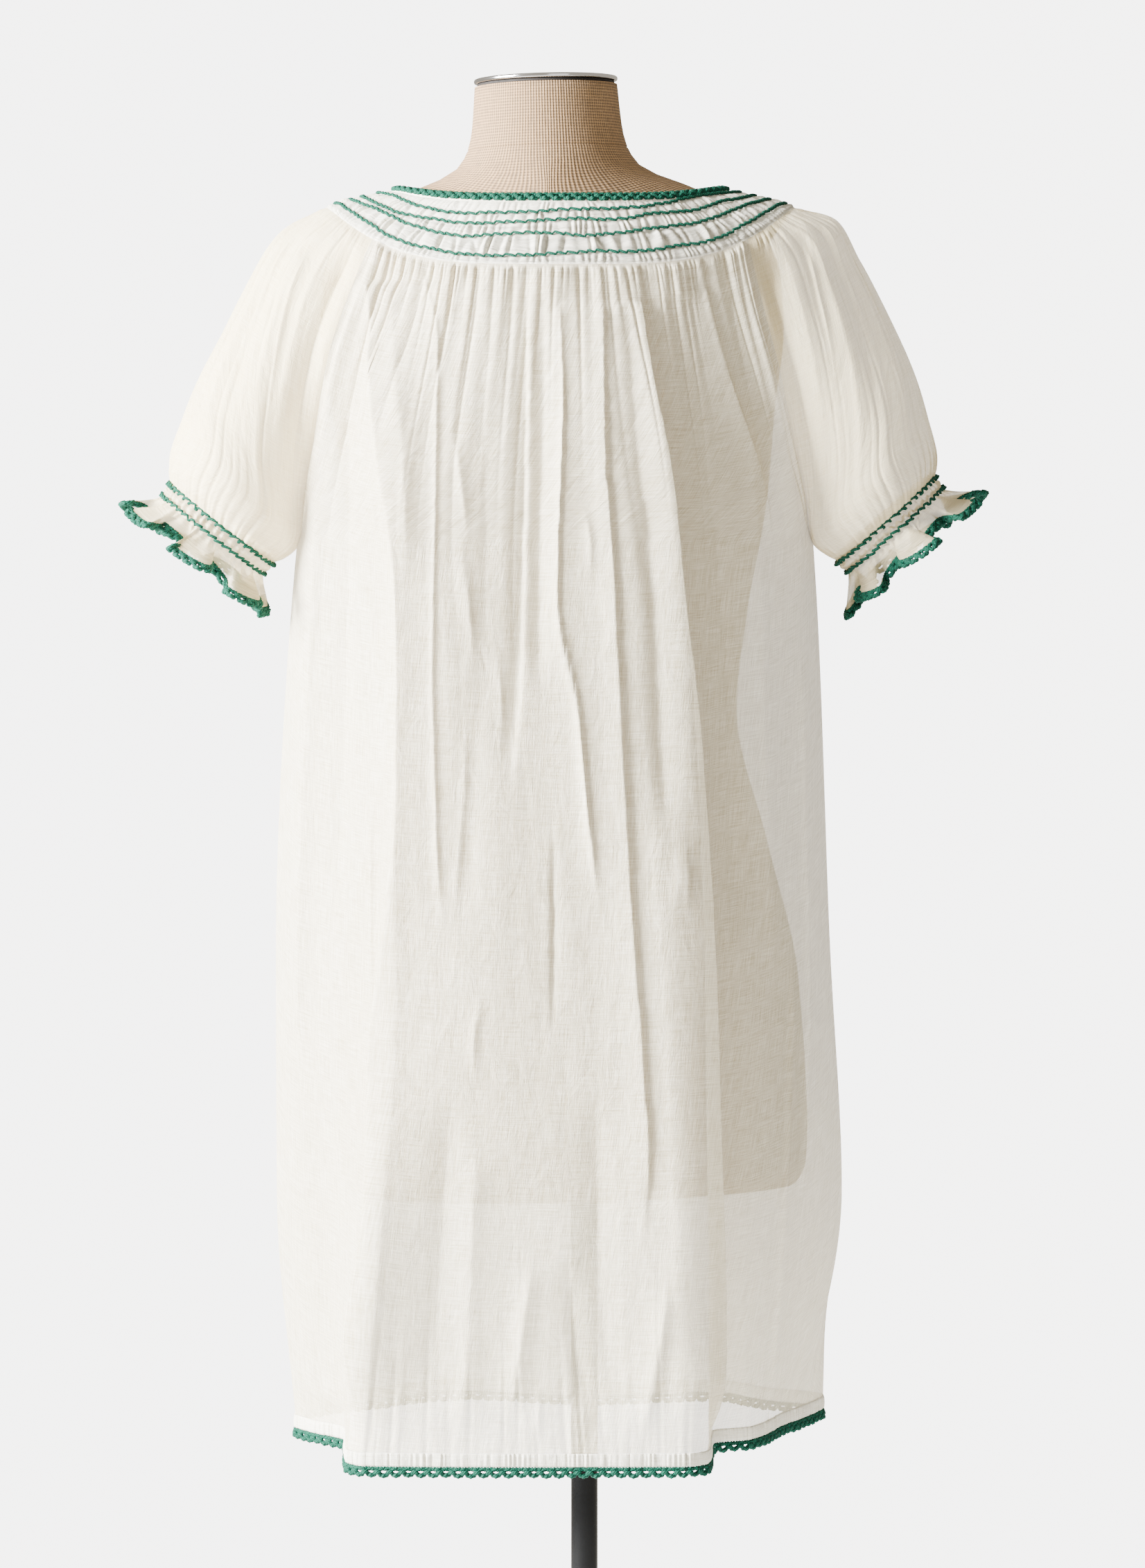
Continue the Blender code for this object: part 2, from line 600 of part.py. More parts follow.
def make_panel(name, rows, folds, steps, side_from):
    """Back or front: the plan lines, the folds, and small gathers under the yoke.

    side_from is -1 where the panel starts at the left sleeve, as the back does, and 1
    where it starts at the right one.
    """
    upper = np.array(SEAM_STATIONS) / ARM_LEVEL
    level = np.concatenate([upper, SKIRT_LEVELS])[:, None]
    share = np.linspace(0.0, 1.0, steps + 1)[None, :]
    grid = panel_point(rows, level, share)
    raglan = np.arange(len(level)) < len(upper)
    sleeve_across = 0.0 if rows is BACK_PANEL else 1.0
    for side, edge in ((side_from, 0), (-side_from, -1)):
        upper_seam = sleeve_point(side, np.array(SEAM_STATIONS), sleeve_across)
        side_seam = panel_point(BACK_PANEL, np.array(SKIRT_LEVELS), (side + 1) / 2)
        offset = np.concatenate([upper_seam, side_seam]) - grid[:, edge]
        away = share[0] if edge == 0 else 1 - share[0]
        hold = np.clip(1 - away / SEAM_REACH, 0.0, 1.0) ** 2
        grid = grid + offset[:, None, :] * hold[None, :, None]
    outward = -normals(grid, False)
    inside = smoothstep(np.minimum(share, 1 - share) / SEAM_FLAT)
    gather = np.where(np.arange(steps + 1) % 2 == 1, 1.0, -1.0)[None, :]
    gather = gather * GATHER_HEIGHT * np.exp(-level / GATHER_FADE)
    height = (fold_height(folds, level, share) + gather) * inside
    grid = grid + outward * height[..., None]
    pull = np.where(raglan, RAGLAN_PULL, SEAM_PULL)
    grid = draw_in(grid, YOKE_PULL, SEAM_PULL, pull, pull)
    cloth(name, grid, WALL, "voile", wall_side=1)


def hem_line(height):
    """The closed plan line of the hem at a height: the back's, then the front's."""
    line = []
    for rows, steps in ((BACK_PANEL, HEM_STEPS[0]), (FRONT_PANEL, HEM_STEPS[1])):
        share = np.arange(steps) / steps
        line.append(panel_point(rows, 4.0, share))
    line = np.concatenate(line)
    line[:, 2] = height
    return line


def make_hem():
    """Casing along the hem, and the crochet edging under it."""
    top = LEVEL_HEIGHTS[-1] - TOUCH / 2
    low = top - HEM_BAND_HEIGHT
    band = np.array([hem_line(top), hem_line(low)])
    cloth("hem_band", band, BAND_WALL, "voile", closed=True)
    edge_top = low - TOUCH
    edge_low = edge_top - HEM_EDGING_HEIGHT
    edging = np.array([hem_line(edge_top), hem_line(edge_low)])
    cloth("hem_edging", edging, LACE_WALL, "green_cotton", closed=True)


def leaned(points):
    """Turns points of the upright form about the middle of its underside, to the left."""
    points = np.asarray(points, float)
    foot = FORM_SECTIONS[-1][0]
    x, y, rise = points[..., 0], points[..., 1], points[..., 2] - foot
    sine, cosine = math.sin(FORM_LEAN), math.cos(FORM_LEAN)
    return np.stack(
        [FORM_FOOT_X + x * cosine - rise * sine, y, foot + rise * cosine + x * sine], axis=-1
    )


def make_form():
    """Torso and neck as one smooth closed body, lofted through its level sections."""
    angle = np.arange(FORM_STEPS) * 2 * math.pi / FORM_STEPS
    rings = []
    for row in FORM_SECTIONS:
        size = dict(zip(FORM_COLUMNS, row))
        power = 2 / size["roundness"]
        cosine = np.sign(np.cos(angle)) * np.abs(np.cos(angle)) ** power
        sine = np.sign(np.sin(angle)) * np.abs(np.sin(angle)) ** power
        x = size["half_width"] * cosine
        y = np.where(sine < 0, size["back"], size["front"]) * sine
        rings.append(np.stack([x, y, np.full_like(x, size["height"])], axis=-1))
    points = leaned(np.array(rings))
    rows = len(points)
    faces = grid_faces(rows, FORM_STEPS, True)[:, ::-1].tolist()
    top = list(range(FORM_STEPS))
    bottom = [(rows - 1) * FORM_STEPS + step for step in reversed(range(FORM_STEPS))]
    mesh = bpy.data.meshes.new("form_torso")
    mesh.from_pydata(points.reshape(-1, 3).tolist(), [], faces + [top, bottom])
    mesh.update()
    mesh.shade_smooth()
    add_object("form_torso", mesh, "linen")


def disc(name, radius, height, middle, finish, edge=0.0, sides=32, lean=0.0):
    """A round piece made from a cylinder, with its edges rounded if asked."""
    bpy.ops.mesh.primitive_cylinder_add(
        vertices=sides, radius=radius, depth=height, location=tuple(middle)
    )
    piece = bpy.context.active_object
    piece.name = name
    piece.rotation_euler.y = -lean
    piece.data.name = name
    piece.data.materials.append(material(finish))
    for holder in list(piece.users_collection):
        holder.objects.unlink(piece)
    collection().objects.link(piece)
    if edge > 0:
        rounding = piece.modifiers.new("edge", "BEVEL")
        rounding.width = edge
        rounding.segments = 2
        rounding.limit_method = "ANGLE"
    return piece


def make_cap():
    """Dark gap ring and chrome-rimmed disc on the neck, leaned with it."""
    low = FORM_SECTIONS[0][0] + TOUCH
    middle = leaned((0.0, 0.0, low + CAP_GAP_HEIGHT / 2))
    disc("neck_cap_ring", CAP_GAP_RADIUS, CAP_GAP_HEIGHT, middle, "dark_gap", lean=FORM_LEAN)
    low = low + CAP_GAP_HEIGHT + TOUCH
    middle = leaned((0.0, 0.0, low + CAP_HEIGHT / 2))
    disc("neck_cap", CAP_RADIUS, CAP_HEIGHT, middle, "chrome", CAP_EDGE, lean=FORM_LEAN)


def upright(name, radius, low, high, edge, sides):
    """A round black piece of the stand, on the pole's axis between two heights."""
    middle = (0.0, 0.0, (low + high) / 2)
    disc(name, radius, high - low, middle, "black_paint", edge, sides)


def make_stand():
    """Round base, its collar and the pole up to the form's underside."""
    upright("stand_base", BASE_RADIUS, 0.0, BASE_HEIGHT, BASE_EDGE, 48)
    low = BASE_HEIGHT + TOUCH
    high = low + COLLAR_HEIGHT
    upright("stand_collar", COLLAR_RADIUS, low, high, COLLAR_EDGE, 24)
    tilt_room = POLE_RADIUS * math.sin(FORM_LEAN)
    top = FORM_SECTIONS[-1][0] - FORM_FOOT_X * math.sin(-FORM_LEAN) - tilt_room - TOUCH
    upright("stand_pole", POLE_RADIUS, high + TOUCH, top, 0.0, 24)


def main():
    clear_scene()
    make_yoke()
    make_neck()
    make_panel("back", BACK_PANEL, BACK_FOLDS, BACK_STEPS, -1)
    make_panel("front", FRONT_PANEL, FRONT_FOLDS, FRONT_STEPS, 1)
    for side_name, side in (("left", -1), ("right", 1)):
        make_sleeve("sleeve_" + side_name, side)
        make_cuff(side_name, side)
    make_hem()
    make_form()
    make_cap()
    make_stand()


main()
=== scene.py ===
# %% [markdown]
# # A cotton mini dress on a dress form
#
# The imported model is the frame: every piece made here sits on one of its solids. The dress
# is thin white cotton voile, gathered into a smocked yoke, so each cloth piece is one curved
# sheet, worked out from a few outlines and then folded. The back faces -Y.

# %% Load the frame
import math

import bmesh
import bpy
import numpy as np
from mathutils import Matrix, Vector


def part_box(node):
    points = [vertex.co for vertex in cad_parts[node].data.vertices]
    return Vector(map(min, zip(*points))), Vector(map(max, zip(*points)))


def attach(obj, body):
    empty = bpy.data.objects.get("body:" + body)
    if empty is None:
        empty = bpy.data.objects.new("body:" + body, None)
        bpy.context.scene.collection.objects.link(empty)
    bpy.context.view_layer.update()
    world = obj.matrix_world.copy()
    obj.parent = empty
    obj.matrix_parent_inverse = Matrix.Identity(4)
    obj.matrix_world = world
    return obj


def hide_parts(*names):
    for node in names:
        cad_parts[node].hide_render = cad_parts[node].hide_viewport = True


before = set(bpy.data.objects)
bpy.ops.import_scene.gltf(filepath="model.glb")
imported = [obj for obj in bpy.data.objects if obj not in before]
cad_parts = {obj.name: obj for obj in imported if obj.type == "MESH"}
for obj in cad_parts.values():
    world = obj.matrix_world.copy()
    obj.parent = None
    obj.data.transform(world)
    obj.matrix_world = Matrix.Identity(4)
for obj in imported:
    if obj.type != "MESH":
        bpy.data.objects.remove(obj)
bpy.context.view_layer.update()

print("frame nodes:", sorted(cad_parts))

# %% [markdown]
# ## Helpers
#
# A surface here is a grid of points. It could be modelled by hand and sculpted, but a grid
# worked out from sizes is easy to change and puts every gather where it is wanted. The UV
# map of each grid is in metres along the cloth, so that threads keep their real size.

# %% Smooth curves through rows of sizes
MM = 0.001
TAU = 2 * math.pi
BELL_POWER = 1.35
WANDER_FALL = 0.7


def slopes(places, values):
    """Harmonic mean of the rises beside each row, or 0 where they turn: no overshoot."""
    step = np.diff(places).reshape((-1,) + (1,) * (values.ndim - 1))
    rise = np.diff(values, axis=0) / step
    before, after = rise[:-1], rise[1:]
    same = before * after > 0
    total = np.where(same, before + after, 1.0)
    middle = np.where(same, 2 * before * after / total, 0.0)
    return np.concatenate([rise[:1], middle, rise[-1:]])


def hermite(t, start, end, lean_start, lean_end, width=1.0):
    """Cubic from start to end with those slopes, for t from 0 to 1 over the width."""
    low = (1 + 2 * t) * (1 - t) ** 2 * start + t * (1 - t) ** 2 * width * lean_start
    high = t**2 * (3 - 2 * t) * end + t**2 * (t - 1) * width * lean_end
    return low + high


def between(places, values, wanted):
    """Smooth curve through the rows, with the slopes above."""
    places, values = np.asarray(places, float), np.asarray(values, float)
    wanted = np.asarray(wanted, float)
    lean = slopes(places, values)
    row = np.clip(np.searchsorted(places, wanted, side="right") - 1, 0, len(places) - 2)
    shape = wanted.shape + (1,) * (values.ndim - 1)
    width = (places[row + 1] - places[row]).reshape(shape)
    t = np.clip((wanted - places[row]).reshape(shape) / width, 0.0, 1.0)
    return hermite(t, values[row], values[row + 1], lean[row], lean[row + 1], width)


def column(rows, names, name, wanted):
    """One named column of a table, at places along its first column."""
    data = np.array(rows)
    return between(data[:, 0], data[:, names.index(name)], wanted)


def smoothstep(value):
    """3 v^2 - 2 v^3, level at both ends."""
    value = np.clip(value, 0.0, 1.0)
    return value**2 * (3 - 2 * value)


def partly(least, value):
    """Smoothstep that starts from a least value in place of 0."""
    return least + (1 - least) * smoothstep(value)


def bell(distance, left, right):
    """exp(-(distance / half width)^1.35), with its own half width on each side."""
    width = np.where(distance < 0, left, right)
    return np.exp(-((np.abs(distance) / width) ** BELL_POWER))


def signed_power(value, power):
    """|value|^power with the value's sign, which makes an oval squarer or leaner."""
    return np.sign(value) * np.abs(value) ** power


def wander(seed, place, waves):
    """Sum of sines with random phases and falling heights: a smooth uneven line about 0."""
    rng = np.random.default_rng(seed)
    total = np.zeros(np.shape(place))
    for step, wave in enumerate(waves):
        total = total + WANDER_FALL**step * np.sin(TAU * wave * place + rng.uniform(0, TAU))
    return total


# %% Meshes from grids
def unit(vectors):
    """Vectors over their lengths."""
    return vectors / np.linalg.norm(vectors, axis=-1, keepdims=True)


def grid_normals(points):
    """Cross product of the steps across and down the grid."""
    return unit(np.cross(np.gradient(points, axis=1), np.gradient(points, axis=0)))


def lengths(points, axis):
    """Distance along the grid lines from their first point."""
    step = np.linalg.norm(np.diff(points, axis=axis), axis=-1)
    zero = np.zeros_like(np.take(step, [0], axis=axis))
    return np.concatenate([zero, np.cumsum(step, axis=axis)], axis=axis)


def grid_quads(rows, columns, closed, flip):
    """Corner numbers of each quad, and the same corners' places in the UV grid."""
    steps = columns if closed else columns - 1
    r, c = np.meshgrid(np.arange(rows - 1), np.arange(steps), indexing="ij")
    corners = [(r, c), (r, c + 1), (r + 1, c + 1), (r + 1, c)]
    if flip:
        corners = corners[::-1]
    faces = np.stack([a * columns + b % columns for a, b in corners], -1).reshape(-1, 4)
    places = np.stack([a * (columns + closed) + b for a, b in corners], -1).reshape(-1, 4)
    return faces, places


def put_mesh(name, vertices, faces, uv):
    """An object at the origin from vertices and quads, with a UV place for each corner."""
    mesh = bpy.data.meshes.new(name)
    mesh.vertices.add(len(vertices))
    mesh.vertices.foreach_set("co", np.asarray(vertices, float).ravel())
    mesh.loops.add(faces.size)
    mesh.loops.foreach_set("vertex_index", faces.astype(np.int32).ravel())
    mesh.polygons.add(len(faces))
    mesh.polygons.foreach_set("loop_start", np.arange(0, faces.size, faces.shape[1]))
    mesh.update(calc_edges=True)
    layer = mesh.uv_layers.new(name="cloth")
    layer.uv.foreach_set("vector", np.asarray(uv, float).ravel())
    mesh.polygons.foreach_set("use_smooth", np.ones(len(faces), bool))
    piece = bpy.data.objects.new(name, mesh)
    bpy.context.scene.collection.objects.link(piece)
    return piece


def put_grid(name, points, closed=False, flip=False, uv=None):
    """A grid of points as a mesh. Its UV map holds the distances across and down it."""
    rows, columns = points.shape[:2]
    faces, places = grid_quads(rows, columns, closed, flip)
    if uv is None:
        around = np.concatenate([points, points[:, :1]], axis=1) if closed else points
        uv = np.stack([lengths(around, 1), -lengths(around, 0)], -1)
    piece = put_mesh(name, points.reshape(-1, 3), faces, uv.reshape(-1, 2)[places.ravel()])
    print(f"{name}: {rows} x {columns} points")
    return piece


# %% Rings and tubes
def loop_length(loop):
    """Length of a closed loop of points."""
    return float(lengths(np.concatenate([loop, loop[:1]]), 0)[-1])


def put_rings(name, grids):
    """Grids that close both ways as one mesh. Its UV map holds mean distances along each."""
    vertices, faces, uvs, count = [], [], [], 0
    for points in grids:
        rows, columns = points.shape[:2]
        quads, places = grid_quads(rows + 1, columns, True, False)
        around = np.concatenate([points, points[:1]])
        around = np.concatenate([around, around[:, :1]], axis=1)
        run, turn = lengths(around, 1).mean(0), lengths(around, 0).mean(1)
        vertices.append(points.reshape(-1, 3))
        faces.append(quads % (rows * columns) + count)
        uvs.append(np.stack(np.meshgrid(run, turn), -1).reshape(-1, 2)[places.ravel()])
        count += rows * columns
    piece = put_mesh(name, np.concatenate(vertices), np.concatenate(faces), np.concatenate(uvs))
    print(f"{name}: {count} points")
    return piece


def tube(path, radius, up, sides=6):
    """A yarn round a closed path: path + radius (cos a * side + sin a * up)."""
    along = unit(np.roll(path, -1, axis=0) - np.roll(path, 1, axis=0))
    side = unit(np.cross(along, up))
    top = np.cross(side, along)
    angle = np.arange(sides)[:, None, None] * TAU / sides
    ring = np.cos(angle) * side + np.sin(angle) * top
    radius = np.broadcast_to(radius, path.shape[:1])
    return path + ring * radius[:, None]


def resampled(count, *loops):
    """Places at equal steps along a closed loop of points, then the loops at those places.

    The first loop is the one that is measured, and the others can be directions on it.
    """
    run = lengths(np.concatenate([loops[0], loops[0][:1]]), 0)
    places = np.arange(count) / count * run[-1]
    found = []
    for loop in loops:
        loop = np.concatenate([loop, loop[:1]])
        found.append(np.stack([np.interp(places, run, axis) for axis in loop.T], -1))
    return [places] + found


# %% [markdown]
# ## The shape of the dress
#
# The cloth follows the same outlines as the frame's solids, repeated here because this file
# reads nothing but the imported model: an oval ring for the yoke, a fan of ovals for each
# sleeve, and plan lines that are carried down for the back and the front. The seams are
# shared lines, so neighbours meet in them.

# %% Yoke outline
YOKE_X = -0.018
NECK = {"half": 0.120, "back": 0.075, "front": 0.086}
NECK_Z = {"side": 1.415, "back": 1.407, "front": 1.374}
LOWER = {"half": 0.176, "back": 0.107, "front": 0.116}
LOWER_Z = {"side": 1.402, "back": 1.355, "front": 1.320}
YOKE_ROUNDING = 1.18
YOKE_DIP = 1.25


def yoke_point(angle, share):
    """Oval ring: centre + (half cos a, depth sin a), lower at its back and front.

    Sizes go from the neckline's at share 0 to the lower edge's at 1, and heights a little
    later, as share^1.18, which rounds the yoke over the shoulder.
    """
    angle, share = np.broadcast_arrays(np.asarray(angle, float), np.asarray(share, float))
    late = np.clip(share, 0.0, None) ** YOKE_ROUNDING
    size = {key: NECK[key] + (LOWER[key] - NECK[key]) * share for key in NECK}
    high = {key: NECK_Z[key] + (LOWER_Z[key] - NECK_Z[key]) * late for key in NECK_Z}
    sine = np.sin(angle)
    behind = sine < 0
    dip = smoothstep(np.abs(sine) ** YOKE_DIP)
    y = np.where(behind, size["back"], size["front"]) * sine
    z = high["side"] + (np.where(behind, high["back"], high["front"]) - high["side"]) * dip
    return np.stack([YOKE_X + size["half"] * np.cos(angle), y, z], axis=-1)


# %% Sleeve outline
BODY_X = -0.022
RAGLAN_ANGLE = math.radians(38.0)
SLEEVE_JOIN = 0.35
ARM_LEVEL = 0.88
SLEEVE_COLUMNS = ("along", "outer", "outer_z", "seam", "seam_z", "depth", "arc")
SLEEVE_ROWS = {
    -1: (
        (0.00, 0.1800, 1.4020, 0.1420, 1.3750, 0.107, 38.0),
        (0.15, 0.2080, 1.3820, 0.1540, 1.3350, 0.080, 64.0),
        (0.35, 0.2290, 1.3460, 0.1680, 1.2860, 0.068, 98.0),
        (0.55, 0.2500, 1.3080, 0.1775, 1.2360, 0.065, 128.0),
        (0.75, 0.2690, 1.2700, 0.1865, 1.1870, 0.067, 156.0),
        (0.88, 0.2800, 1.2410, 0.1940, 1.1490, 0.069, 180.0),
        (0.95, 0.2880, 1.2130, 0.2060, 1.1390, 0.063, 180.0),
        (1.00, 0.2880, 1.1940, 0.2130, 1.1360, 0.0475, 180.0),
    ),
    1: (
        (0.00, 0.1720, 1.4020, 0.1330, 1.3750, 0.107, 38.0),
        (0.15, 0.2080, 1.3920, 0.1480, 1.3370, 0.080, 64.0),
        (0.35, 0.2290, 1.3610, 0.1640, 1.2880, 0.068, 98.0),
        (0.55, 0.2520, 1.3180, 0.1750, 1.2380, 0.065, 128.0),
        (0.75, 0.2710, 1.2740, 0.1855, 1.1890, 0.067, 156.0),
        (0.88, 0.2800, 1.2430, 0.1940, 1.1510, 0.069, 180.0),
        (0.95, 0.2860, 1.2150, 0.2060, 1.1410, 0.063, 180.0),
        (1.00, 0.2840, 1.1990, 0.2130, 1.1370, 0.0475, 180.0),
    ),
}


def sleeve_section(side, along, across):
    """Arc of an oval through the row's outer edge and seam, arc degrees to each side.

    middle = (seam - outer cos arc) / (1 - cos arc), and a point is
    middle + (outer - middle) cos t, with depth sin t, for t from -arc to arc.
    """
    got = {
        name: column(SLEEVE_ROWS[side], SLEEVE_COLUMNS, name, along)
        for name in SLEEVE_COLUMNS[1:]
    }
    arc = np.radians(got["arc"])
    turn = (2 * across - 1) * arc
    share = np.cos(arc)
    middle = (got["seam"] - got["outer"] * share) / (1 - share)
    middle_z = (got["seam_z"] - got["outer_z"] * share) / (1 - share)
    out = middle + (got["outer"] - middle) * np.cos(turn)
    z = middle_z + (got["outer_z"] - middle_z) * np.cos(turn)
    return np.stack([BODY_X + side * out, got["depth"] * np.sin(turn), z], axis=-1)


def sleeve_point(side, along, across):
    """A section's point, drawn onto the yoke's lower edge near along 0."""
    along, across = np.broadcast_arrays(np.asarray(along, float), np.asarray(across, float))
    turn = (2 * across - 1) * RAGLAN_ANGLE
    angle = turn if side > 0 else math.pi - turn
    join = np.clip(1 - along / SLEEVE_JOIN, 0.0, 1.0) ** 2
    offset = yoke_point(angle, 1.0) - sleeve_section(side, np.zeros_like(along), across)
    return sleeve_section(side, along, across) + offset * join[..., None]


# %% Back and front outlines
LEVEL_HEIGHTS = (1.149, 0.850, 0.660, 0.4965)
LEVEL_NAMES = ("arm", "waist", "thigh", "hem")
PANEL_COLUMNS = ("share", "angle") + tuple(
    f"{name}_{axis}" for name in LEVEL_NAMES for axis in "xy"
)
BACK_ROWS = (
    (0.00, -142.0, -0.216, 0.000, -0.232, 0.004, -0.231, 0.000, -0.217, -0.004),
    (0.05, -138.5, -0.208, -0.035, -0.222, -0.022, -0.216, -0.024, -0.199, -0.030),
    (0.11, -134.0, -0.189, -0.062, -0.196, -0.052, -0.186, -0.054, -0.177, -0.058),
    (0.25, -124.5, -0.147, -0.100, -0.146, -0.110, -0.153, -0.134, -0.172, -0.146),
    (0.29, -121.0, -0.136, -0.108, -0.131, -0.126, -0.142, -0.148, -0.159, -0.163),
    (0.45, -102.0, -0.070, -0.126, -0.055, -0.146, -0.050, -0.158, -0.045, -0.168),
    (0.62, -80.0, 0.030, -0.125, 0.055, -0.143, 0.064, -0.156, 0.070, -0.166),
    (0.66, -74.0, 0.060, -0.116, 0.082, -0.128, 0.086, -0.140, 0.089, -0.151),
    (0.79, -60.0, 0.098, -0.098, 0.097, -0.098, 0.095, -0.093, 0.094, -0.072),
    (0.85, -54.0, 0.124, -0.078, 0.124, -0.080, 0.124, -0.074, 0.123, -0.054),
    (0.95, -43.0, 0.160, -0.036, 0.168, -0.022, 0.174, -0.008, 0.151, 0.010),
    (1.00, -38.0, 0.172, 0.000, 0.185, 0.010, 0.195, 0.030, 0.167, 0.040),
)
FRONT_ROWS = (
    (0.00, 38.0, 0.172, 0.000, 0.185, 0.010, 0.195, 0.030, 0.167, 0.040),
    (0.10, 45.0, 0.163, 0.045, 0.180, 0.050, 0.186, 0.072, 0.183, 0.085),
    (0.22, 57.0, 0.118, 0.084, 0.132, 0.092, 0.138, 0.106, 0.140, 0.118),
    (0.36, 72.0, 0.068, 0.122, 0.082, 0.132, 0.090, 0.142, 0.096, 0.156),
    (0.50, 88.0, 0.000, 0.128, 0.004, 0.126, 0.004, 0.130, 0.004, 0.138),
    (0.64, 104.0, -0.078, 0.127, -0.084, 0.138, -0.088, 0.150, -0.090, 0.162),
    (0.78, 121.0, -0.146, 0.094, -0.156, 0.100, -0.160, 0.108, -0.164, 0.118),
    (0.90, 135.0, -0.202, 0.052, -0.218, 0.062, -0.216, 0.066, -0.212, 0.070),
    (1.00, 142.0, -0.216, 0.000, -0.232, 0.004, -0.231, 0.000, -0.217, -0.004),
)
SEAM_REACH = 0.16


def panel_point(rows, level, share):
    """Plan lines down from the yoke (0) to underarm, waist, thigh and hem (1 to 4).

    Across the panel each level is a smooth curve through its plan places, and down it each
    line is a smooth curve through the levels.
    """
    level, share = np.broadcast_arrays(np.asarray(level, float), np.asarray(share, float))
    angle = np.radians(column(rows, PANEL_COLUMNS, "angle", share))
    stack = [yoke_point(angle, 1.0)]
    for name, height in zip(LEVEL_NAMES, LEVEL_HEIGHTS):
        x, y = (column(rows, PANEL_COLUMNS, f"{name}_{axis}", share) for axis in "xy")
        stack.append(np.stack([x, y, np.full_like(x, height)], axis=-1))
    stack = np.array(stack)
    lean = slopes(np.arange(len(stack)), stack)
    row = np.clip(level.astype(int), 0, len(stack) - 2)
    start, end, lean_start, lean_end = (
        np.take_along_axis(values, row[None, ..., None] + step, axis=0)[0]
        for values, step in ((stack, 0), (stack, 1), (lean, 0), (lean, 1))
    )
    return hermite((level - row)[..., None], start, end, lean_start, lean_end)


def hung_panel(rows, level, share, first_side):
    """Panel with its upper edges drawn onto the raglan seams and its lower onto the side
    seams. The pull fades as (1 - distance / reach)^2 across the panel."""
    grid = panel_point(rows, level[:, None], share[None, :])
    upper = level <= 1.0
    across = 0.0 if rows is BACK_ROWS else 1.0
    for side, edge in ((first_side, 0), (-first_side, -1)):
        raglan = sleeve_point(side, level[upper] * ARM_LEVEL, across)
        side_seam = panel_point(BACK_ROWS, level[~upper], (side + 1) / 2)
        offset = np.concatenate([raglan, side_seam]) - grid[:, edge]
        away = share if edge == 0 else 1 - share
        hold = np.clip(1 - away / SEAM_REACH, 0.0, 1.0) ** 2
        grid = grid + offset[:, None] * hold[None, :, None]
    return grid
